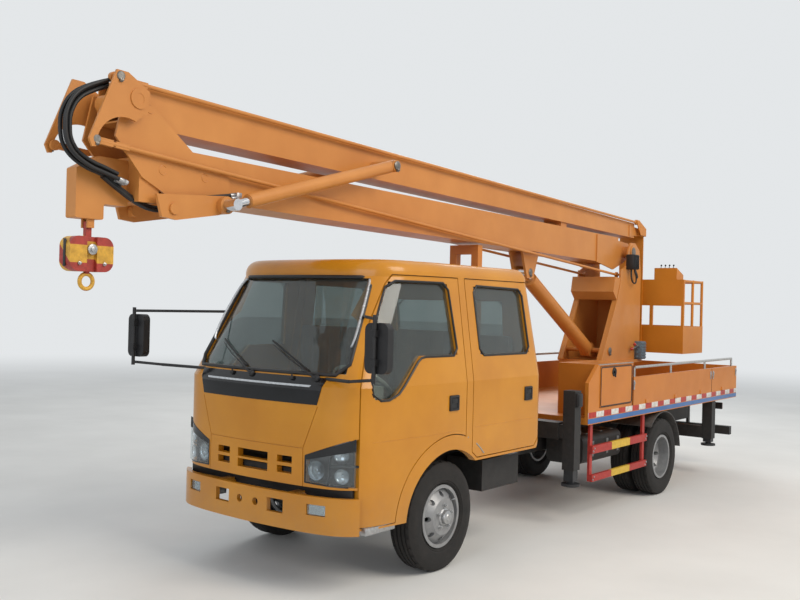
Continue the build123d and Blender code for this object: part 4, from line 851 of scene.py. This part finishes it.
def warning_bands(name, hex_one, hex_two, pitch, axis_y=1.0, axis_z=1.0, axis_x=0.0):
    """Slanted bands of two colours from the piece's own coordinates, scuffed in patches."""
    made, tree, place, shader = new_material(name)
    split = add(tree, "SeparateXYZ", {"Vector": place})
    along = add(tree, "Math", {"operation": "MULTIPLY", 0: split.outputs["Y"], 1: axis_y / pitch})
    rise = add(tree, "Math", {"operation": "MULTIPLY_ADD", 0: split.outputs["Z"], 1: axis_z / pitch,
                              2: along.outputs[0]})
    across = add(tree, "Math", {"operation": "MULTIPLY_ADD", 0: split.outputs["X"], 1: axis_x / pitch,
                                2: rise.outputs[0]})
    turn = add(tree, "Math", {"operation": "FRACT", 0: across.outputs[0]})
    half = add(tree, "Math", {"operation": "GREATER_THAN", 0: turn.outputs[0], 1: 0.5})
    colour = add(tree, "Mix", {"data_type": "RGBA", 0: half.outputs[0], MIX_A: linear(hex_one),
                               MIX_B: linear(hex_two)})
    scuffs = ramp(tree, noise(tree, place, 40, 6, 0.7), (0.3, "#a79f98"), (0.6, "#ffffff"))
    scuffed = add(tree, "Mix", {"data_type": "RGBA", "blend_type": "MULTIPLY", 0: 0.6,
                                MIX_A: colour.outputs[MIXED], MIX_B: scuffs})
    wire(shader, {"Base Color": scuffed.outputs[MIXED], "Roughness": 0.45})
    return made


stainless = brushed_steel("brushed stainless steel", "#c9c7c3", "#b4b1ac")
chrome = brushed_steel("hard chrome plate", "#dcdddf", "#d0d1d3", 0.14)
finish_nodes(stainless, "handrails")
tape = warning_bands("red and white reflecting tape", "#b5352c", "#dcdad4", 0.31, 1.0, 0.0)
blue_line = enamel("sprayed blue line", "#4672ad", "#3b649c", 0.4, 0.3, 0.2)
BOARD_X, LINE_X = 0.9285, 0.9315
for hand, side in SIDES:
    for name, material, low, high in (("blue_line_", blue_line, 0.868, 0.912),
                                      ("reflecting_tape_", tape, 0.918, 0.968)):
        band = block((side * BOARD_X, 2.08, low), (side * LINE_X, 6.05, high), 0.0006)
        finished(name + hand, "chassis", material, band)
seams = [block((0.9280, low, 0.972), (0.9312, high, 1.238), 0.0006)
         for low, high in ((5.187, 5.193), (3.003, 3.008))]
hinges = []
for y in (3.35, 4.10, 4.85, 5.55):
    hinges.append(block((0.929, y - 0.030, 0.972), (0.936, y + 0.030, 1.010), 0.002))
    hinges.append(rod((0.936, y - 0.034, 0.978), (0.936, y + 0.034, 0.978), 0.007, 12))
latches = []
for y in (3.04, 5.15, 5.23, 6.01):
    latches.append(block((0.929, y - 0.012, 1.120), (0.937, y + 0.012, 1.210), 0.002))
    latches.append(rod((0.934, y, 1.135), (0.944, y, 1.195), 0.005, 8))
for name, kind, pieces in (("board_seams", window_rubber, seams), ("board_hinges", deck_enamel, hinges),
                           ("board_latches", zinc, latches)):
    mirrored(finished(name + "_left", "chassis", kind, *pieces), "chassis")


# Locker doors: pressed sheet on a rubber seal, with a black lever lock in a dished plate.
# A bright folded strip covers the locker's top edge.
LOCK_Y, LOCK_Z = 2.58, 1.31
lock_plate = [(0.0001, 0.004), (0.026, 0.004), (0.036, 0.010), (0.040, 0.007), (0.042, -0.002),
              (0.0001, -0.002)]
for hand, side in SIDES:
    names, body = ["tool_door_" + hand], "locker_door_" + hand
    outline = rounded([(side * 1.4, y, z) for y, z in ((2.312, 1.007), (2.973, 1.007), (2.973, 1.358),
                                                       (2.312, 1.358))], 0.02)
    finished("locker_seal_" + hand, body, window_rubber, trim(names, outline, (-side, 0, 0), 0.005))
    skin = on_skin(names, (side * 1.4, 2.60, LOCK_Z), (-side, 0, 0)).x
    lock = [spun(lock_plate, (skin, LOCK_Y, LOCK_Z), (side, 0, 0), 32),
            rod((skin, LOCK_Y, LOCK_Z), (skin + side * 0.020, LOCK_Y, LOCK_Z), 0.011, 16),
            rod((skin + side * 0.016, LOCK_Y, 1.322), (skin + side * 0.016, LOCK_Y, 1.262), 0.006, 10)]
    finished("locker_lock_" + hand, body, black_plastic, *lock)
    edge = block((side * 0.915, 2.283, 1.3805), (side * 0.9365, 3.002, 1.3885), 0.001)
    finished("locker_top_strip_" + hand, "chassis", stainless, edge)


# Side guards and outriggers: welded square tube, guards in red with a yellow middle third.
# Bolts hold the guards' posts, the legs are dark grey, and each beam's end carries a small lamp box.
def guard_paint():
    """Red, with yellow in the rails' middle, and black on the bar at the back."""
    made, tree, place, shader = new_material("red and yellow guard paint")
    split = add(tree, "SeparateXYZ", {"Vector": place})
    middle = add(tree, "Math", {"operation": "COMPARE", 0: split.outputs["Y"], 1: AXLE_Y + 2.815, 2: 0.20})
    behind = add(tree, "Math", {"operation": "GREATER_THAN", 0: split.outputs["Y"], 1: AXLE_Y + 4.6})
    worn = noise(tree, place, 35, 6, 0.7)
    red, yellow, black = [ramp(tree, worn, (0.3, dark), (0.6, light)) for dark, light in (
        ("#97261f", "#ad3128"), ("#c09a2c", "#d6b138"), ("#1e1d1c", "#2b2a29"))]
    banded = add(tree, "Mix", {"data_type": "RGBA", 0: middle.outputs[0], MIX_A: red, MIX_B: yellow})
    whole = add(tree, "Mix", {"data_type": "RGBA", 0: behind.outputs[0], MIX_A: banded.outputs[MIXED],
                              MIX_B: black})
    wire(shader, {"Base Color": whole.outputs[MIXED], "Roughness": 0.5})
    bump(shader, worn, 0.2, 0.4)
    return made


finish_nodes(guard_paint(), "guards")
leg_paint = metal("dark grey leg paint", "#2c2d30", "#1f2023", 0.0, 0.5)
finish_nodes(leg_paint, "leg_front_left", "leg_front_right", "leg_rear_left", "leg_rear_right")
bolts = []
for y in (2.24, 3.39):
    for z in (0.37, 0.625):
        for off in (-0.012, 0.012):
            bolts.append(rod((0.910, y + off, z + off), (0.922, y + off, z + off), 0.009, 6))
mirrored(finished("guard_bolts_left", "chassis", zinc, *bolts), "chassis")
for hand, side in SIDES:
    box = block((side * 0.900, 1.872, 1.03), (side * 0.936, 1.960, 1.15), 0.006)
    lid = block((side * 0.934, 1.880, 1.04), (side * 0.942, 1.952, 1.14), 0.003)
    finished("outrigger_lamp_box_" + hand, "outrigger_beam_" + hand, black_plastic, box, lid)


# Booms and column: welded box sections of high-strength plate in the cab's amber enamel, drawn paler and
# greyer as painted haze and light.
# Turned steel pins pass through bosses, each held by a bolted keeper; weld beads show on the cheeks.
# Painted light: the cab's amber paint, made paler and greyer to stand in for haze and light on the raised
# booms.
boom_enamel_painted_light = enamel("sprayed light orange enamel", "#c98643", "#bf7c3b", 0.4, 0.3, 0.12)
finish_nodes(boom_enamel_painted_light, "turntable", "lower_boom", "upper_boom", "levelling_plates", "lower_rods",
             "upper_rod", "lift_barrel", "fold_barrels")
finish_nodes(chrome, "lift_rod", "fold_rods")
pin_steel = metal("greased pin steel", "#8b8781", "#6b6762", 0.85, 0.38, 25, 0.1)


def pin_end(node, y, z, radius, side):
    """A pin's end on the skin: chamfered disc, keeper plate and two bolts."""
    face = on_skin([node], (side * 1.2, y, z), (-side, 0, 0)).x
    disc = spun([(0.0001, 0.008), (radius * 0.82, 0.008), (radius, 0.004), (radius, -0.004),
                 (0.0001, -0.004)], (face, y, z), (side, 0, 0), 32)
    keeper = block((face - side * 0.002, y - radius * 0.35, z - radius * 1.35),
                   (face + side * 0.010, y + radius * 0.35, z - radius * 0.55), 0.002)
    bolt_z = z - radius * 0.95
    bolts = [rod((face, y + dy, bolt_z), (face + side * 0.017, y + dy, bolt_z), 0.007, 6)
             for dy in (-radius * 0.2, radius * 0.2)]
    return [disc, keeper, *bolts]


for name, body, node, y, z, radius in (
        ("column_pin", "slewing_column", "turntable", 4.460, 2.540, 0.050),
        ("lift_base_pin", "slewing_column", "turntable", 3.900, 1.440, 0.038),
        ("lift_eye_pin", "lower_arm", "lower_boom", 2.490, 2.230, 0.036),
        ("fold_eye_pin", "lower_arm", "lower_boom", -1.546, 2.470, 0.034),
        ("knuckle_pin", "level_plates", "levelling_plates", -2.195, 3.010, 0.048),
        ("plate_low_pin", "level_plates", "levelling_plates", -2.460, 2.743, 0.026),
        ("plate_top_pin", "level_plates", "levelling_plates", -2.320, 3.115, 0.026),
        ("fold_hub_pin", "upper_arm", "upper_boom", 0.015, 2.915, 0.034),
        ("tip_pin", "upper_arm", "upper_boom", 4.900, 2.800, 0.034)):
    ends = []
    for side in (1, -1):
        if on_skin([node], (side * 1.2, y, z), (-side, 0, 0)):
            ends += pin_end(node, y, z, radius, side)
    if ends:
        finished(name + "_ends", body, pin_steel, *ends)
BEAD_TURNS = [radians(40 + 28 * i) for i in range(11)]
beads = []
for y, z, r in ((-2.070, 2.980, 0.026), (-1.525, 2.959, 0.024), (-0.980, 2.954, 0.022),
                (-1.974, 2.639, 0.028), (-1.657, 2.631, 0.024)):
    for side in (1, -1):
        ring = [(side * 1.2, y + r * cos(turn), z + r * sin(turn)) for turn in BEAD_TURNS]
        beads.append(trim(["lower_boom"], ring, (-side, 0, 0), 0.0035, False))
finished("weld_beads", "lower_arm", boom_enamel_painted_light, *beads)


# Hoses: black wire-braided rubber with crimped plated ends, tied in a bundle round the knuckle.
# On the truck they are fixed at both ends, with slack for the booms to move; here they are drawn in one fixed
# shape, and the knuckle bundle rides on no body.
hose_rubber = moulded_plastic("black braided hose rubber", "#1d1d1e", "#131314", 0.55, 2.4)
BUNDLE = [(-2.333, 3.101), (-2.447, 3.055), (-2.552, 2.984), (-2.604, 2.880), (-2.606, 2.797),
          (-2.596, 2.721), (-2.546, 2.650), (-2.446, 2.598), (-2.337, 2.573), (-2.251, 2.550)]
MIDDLE_Y, MIDDLE_Z = -2.33, 2.83
PLACES = ((0.092, 0.0), (0.118, 0.012), (0.144, 0.0), (0.105, 0.034), (0.131, 0.034))
for i, (x, inward) in enumerate(PLACES):
    points = []
    for y, z in BUNDLE:
        away = Vector((0, y - MIDDLE_Y, z - MIDDLE_Z)).normalized()
        points.append((x, y - away.y * inward, z - away.z * inward))
    hose = shaped("knuckle_hose_%d" % i, hose_rubber, tube(points, 0.0115, False, "NURBS", 4), angle=50)
    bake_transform(hose)
UNDER = [(0.100, -2.330, 2.560), (0.100, -2.230, 2.500), (0.100, -2.120, 2.440), (0.105, -1.990, 2.395),
         (0.110, -1.880, 2.420), (0.135, -1.770, 2.478), (0.178, -1.640, 2.495), (0.186, -1.520, 2.515),
         (0.186, -1.440, 2.528)]
OFFSETS = ((0.0, 0.0), (-0.023, 0.004), (-0.011, 0.020))
lines = [tube([(x + dx, y, z + dz) for x, y, z in UNDER], 0.0105, False, "NURBS", 4) for dx, dz in OFFSETS]
finished("boom_hoses", "lower_arm", hose_rubber, *lines)
crimps = []
for x, _ in PLACES[:3]:
    crimps.append(rod((x, -2.262, 2.553), (x, -2.215, 2.540), 0.0145, 12, 0.002))
    crimps.append(rod((x, -2.222, 2.542), (x, -2.205, 2.537), 0.017, 6, 0.002))
for dx, dz in OFFSETS:
    crimps.append(rod((0.186 + dx, -1.460, 2.525 + dz), (0.186 + dx, -1.420, 2.531 + dz), 0.0130, 12, 0.002))
crimps.append(block((0.148, -1.424, 2.505), (0.203, -1.384, 2.566), 0.003))
finished("hose_crimps", "lower_arm", zinc, *crimps)


# Column fittings: a cast valve bank with two knobbed levers, and a black ribbed junction box.
# Two cables leave the box in loops that let the boom swing.
valve_grey = metal("blue-grey valve casting", "#6a7d8a", "#566873", 0.1, 0.45, 30, 0.3)
valve = [block((0.258, 4.557, 1.332), (0.344, 4.683, 1.533), 0.004)]
valve += [block((0.342, 4.560, 1.345 + 0.031 * i), (0.352, 4.680, 1.362 + 0.031 * i), 0.002)
          for i in range(6)]
valve += [rod((0.30, 4.555, 1.36 + 0.045 * i), (0.30, 4.535, 1.36 + 0.045 * i), 0.012, 6) for i in range(3)]
finished("valve_bank", "slewing_column", valve_grey, *valve)
levers = [rod((0.30, 4.56, 1.475), (0.30, 4.41, 1.452), 0.006, 10),
          rod((0.325, 4.56, 1.475), (0.325, 4.43, 1.500), 0.006, 10)]
finished("valve_levers", "slewing_column", zinc, *levers)
knob = [(0.0001, 0.018), (0.008, 0.016), (0.015, 0.009), (0.018, 0.0), (0.015, -0.009), (0.008, -0.016),
        (0.0001, -0.018)]
knobs = [spun(knob, (0.30, 4.40, 1.450), FROM_BACK, 20), spun(knob, (0.325, 4.42, 1.503), FROM_BACK, 20)]
red_knob = moulded_plastic("red moulded knob", "#b3322a", "#9c2820", 0.3)
finished("valve_knobs", "slewing_column", red_knob, *knobs)
junction = [block((0.258, 4.287, 2.337), (0.352, 4.423, 2.503), 0.005)]
junction += [block((0.350, 4.296 + 0.022 * i, 2.345), (0.360, 4.305 + 0.022 * i, 2.495), 0.0015)
             for i in range(6)]
junction.append(tube([(0.30, 4.34, 2.340), (0.305, 4.33, 2.26), (0.31, 4.36, 2.19), (0.31, 4.44, 2.18),
                      (0.30, 4.49, 2.25), (0.275, 4.50, 2.34)], 0.009))
junction.append(tube([(0.32, 4.38, 2.340), (0.33, 4.39, 2.28), (0.33, 4.43, 2.24), (0.32, 4.48, 2.26),
                      (0.275, 4.52, 2.33)], 0.007))
finished("junction_box_and_cables", "slewing_column", black_plastic, *junction)


# Basket: a glass-fibre tub in a welded steel rail frame, both sprayed in a deep yellow enamel.
# The control console has a moulded panel on its sloping top, with four levers and a stop button.
basket_enamel = enamel("sprayed yellow enamel", "#cc8024", "#c2771f", 0.4, 0.3, 0.12)
finish_nodes(basket_enamel, "basket")
SLOPE_Y, SLOPE_Z = 0.205, -0.075
console_up = Vector((0, -SLOPE_Z, SLOPE_Y)).normalized()


def on_console(x, share, height=0.0):
    """A point over the console's sloping top, from its front edge to its back edge."""
    return Vector((x, 5.012 + SLOPE_Y * share, 2.385 + SLOPE_Z * share)) + console_up * height


above = Vector((0, 0, 0.1))
corners = [on_console(x, share) + above
           for x, share in ((0.298, 0.04), (0.552, 0.04), (0.552, 0.96), (0.298, 0.96))]
panel = patch(["basket"], corners, 6, 5, 0.001, 0.004, (0, 0, -1))
finished("console_panel", "work_basket", grey_plastic, panel)
LEVERS, LEVER_SHARE = 4, 0.35
collar = [(0.0001, 0.004), (0.014, 0.004), (0.017, 0.0), (0.0001, 0.0)]
small_knob = [(r * 0.6, h * 0.6) for r, h in knob]
controls = []
for i in range(LEVERS):
    x = 0.335 + 0.050 * i
    controls.append(spun(collar, on_console(x, LEVER_SHARE, 0.002), console_up, 20))
    controls.append(rod(on_console(x, LEVER_SHARE), on_console(x, LEVER_SHARE, 0.058), 0.004, 10))
    controls.append(spun(small_knob, on_console(x, LEVER_SHARE, 0.064), console_up, 16))
finished("console_levers", "work_basket", black_plastic, *controls)
button = [(0.0001, 0.026), (0.016, 0.025), (0.020, 0.020), (0.020, 0.014), (0.010, 0.012), (0.010, 0.0),
          (0.0001, 0.0)]
finished("console_stop_button", "work_basket", red_knob,
         spun(button, on_console(0.515, 0.70, 0.002), console_up, 28))


# Hook block: cast cheeks painted in yellow and red bands round one sheave, with a forged hook.
# Plated pins with hexagon nuts go through the cheeks, and a black strip at each edge is painted shade for the
# sheave's gap.
hook_bands = warning_bands("hook block yellow and red", "#d9a63a", "#a83a30", 0.2, 0.0, 1.0, 1.0)
finish_nodes(hook_bands, "hook_block")
# Painted shade: thin black strips in the black rubber finish stand in for the shadowed gap round the sheave
# at each edge.
gap_shade = [block((-0.012, y, 2.050), (0.012, y + 0.005, 2.205), 0.001) for y in (-2.503, -2.222)]
finished("hook_block_gap_shade", "hook", window_rubber, *gap_shade)
studs = []
for side in (1, -1):
    for y, z, collar_r, nut_r, sides in ((-2.36, 2.15, 0.030, 0.016, 24), (-2.44, 2.07, 0.012, 0.008, 6),
                                         (-2.28, 2.07, 0.012, 0.008, 6)):
        studs.append(rod((side * 0.050, y, z), (side * 0.060, y, z), collar_r, sides, 0.002))
        studs.append(rod((side * 0.055, y, z), (side * 0.068, y, z), nut_r, 6, 0.002))
finished("hook_block_pins", "hook", zinc, *studs)
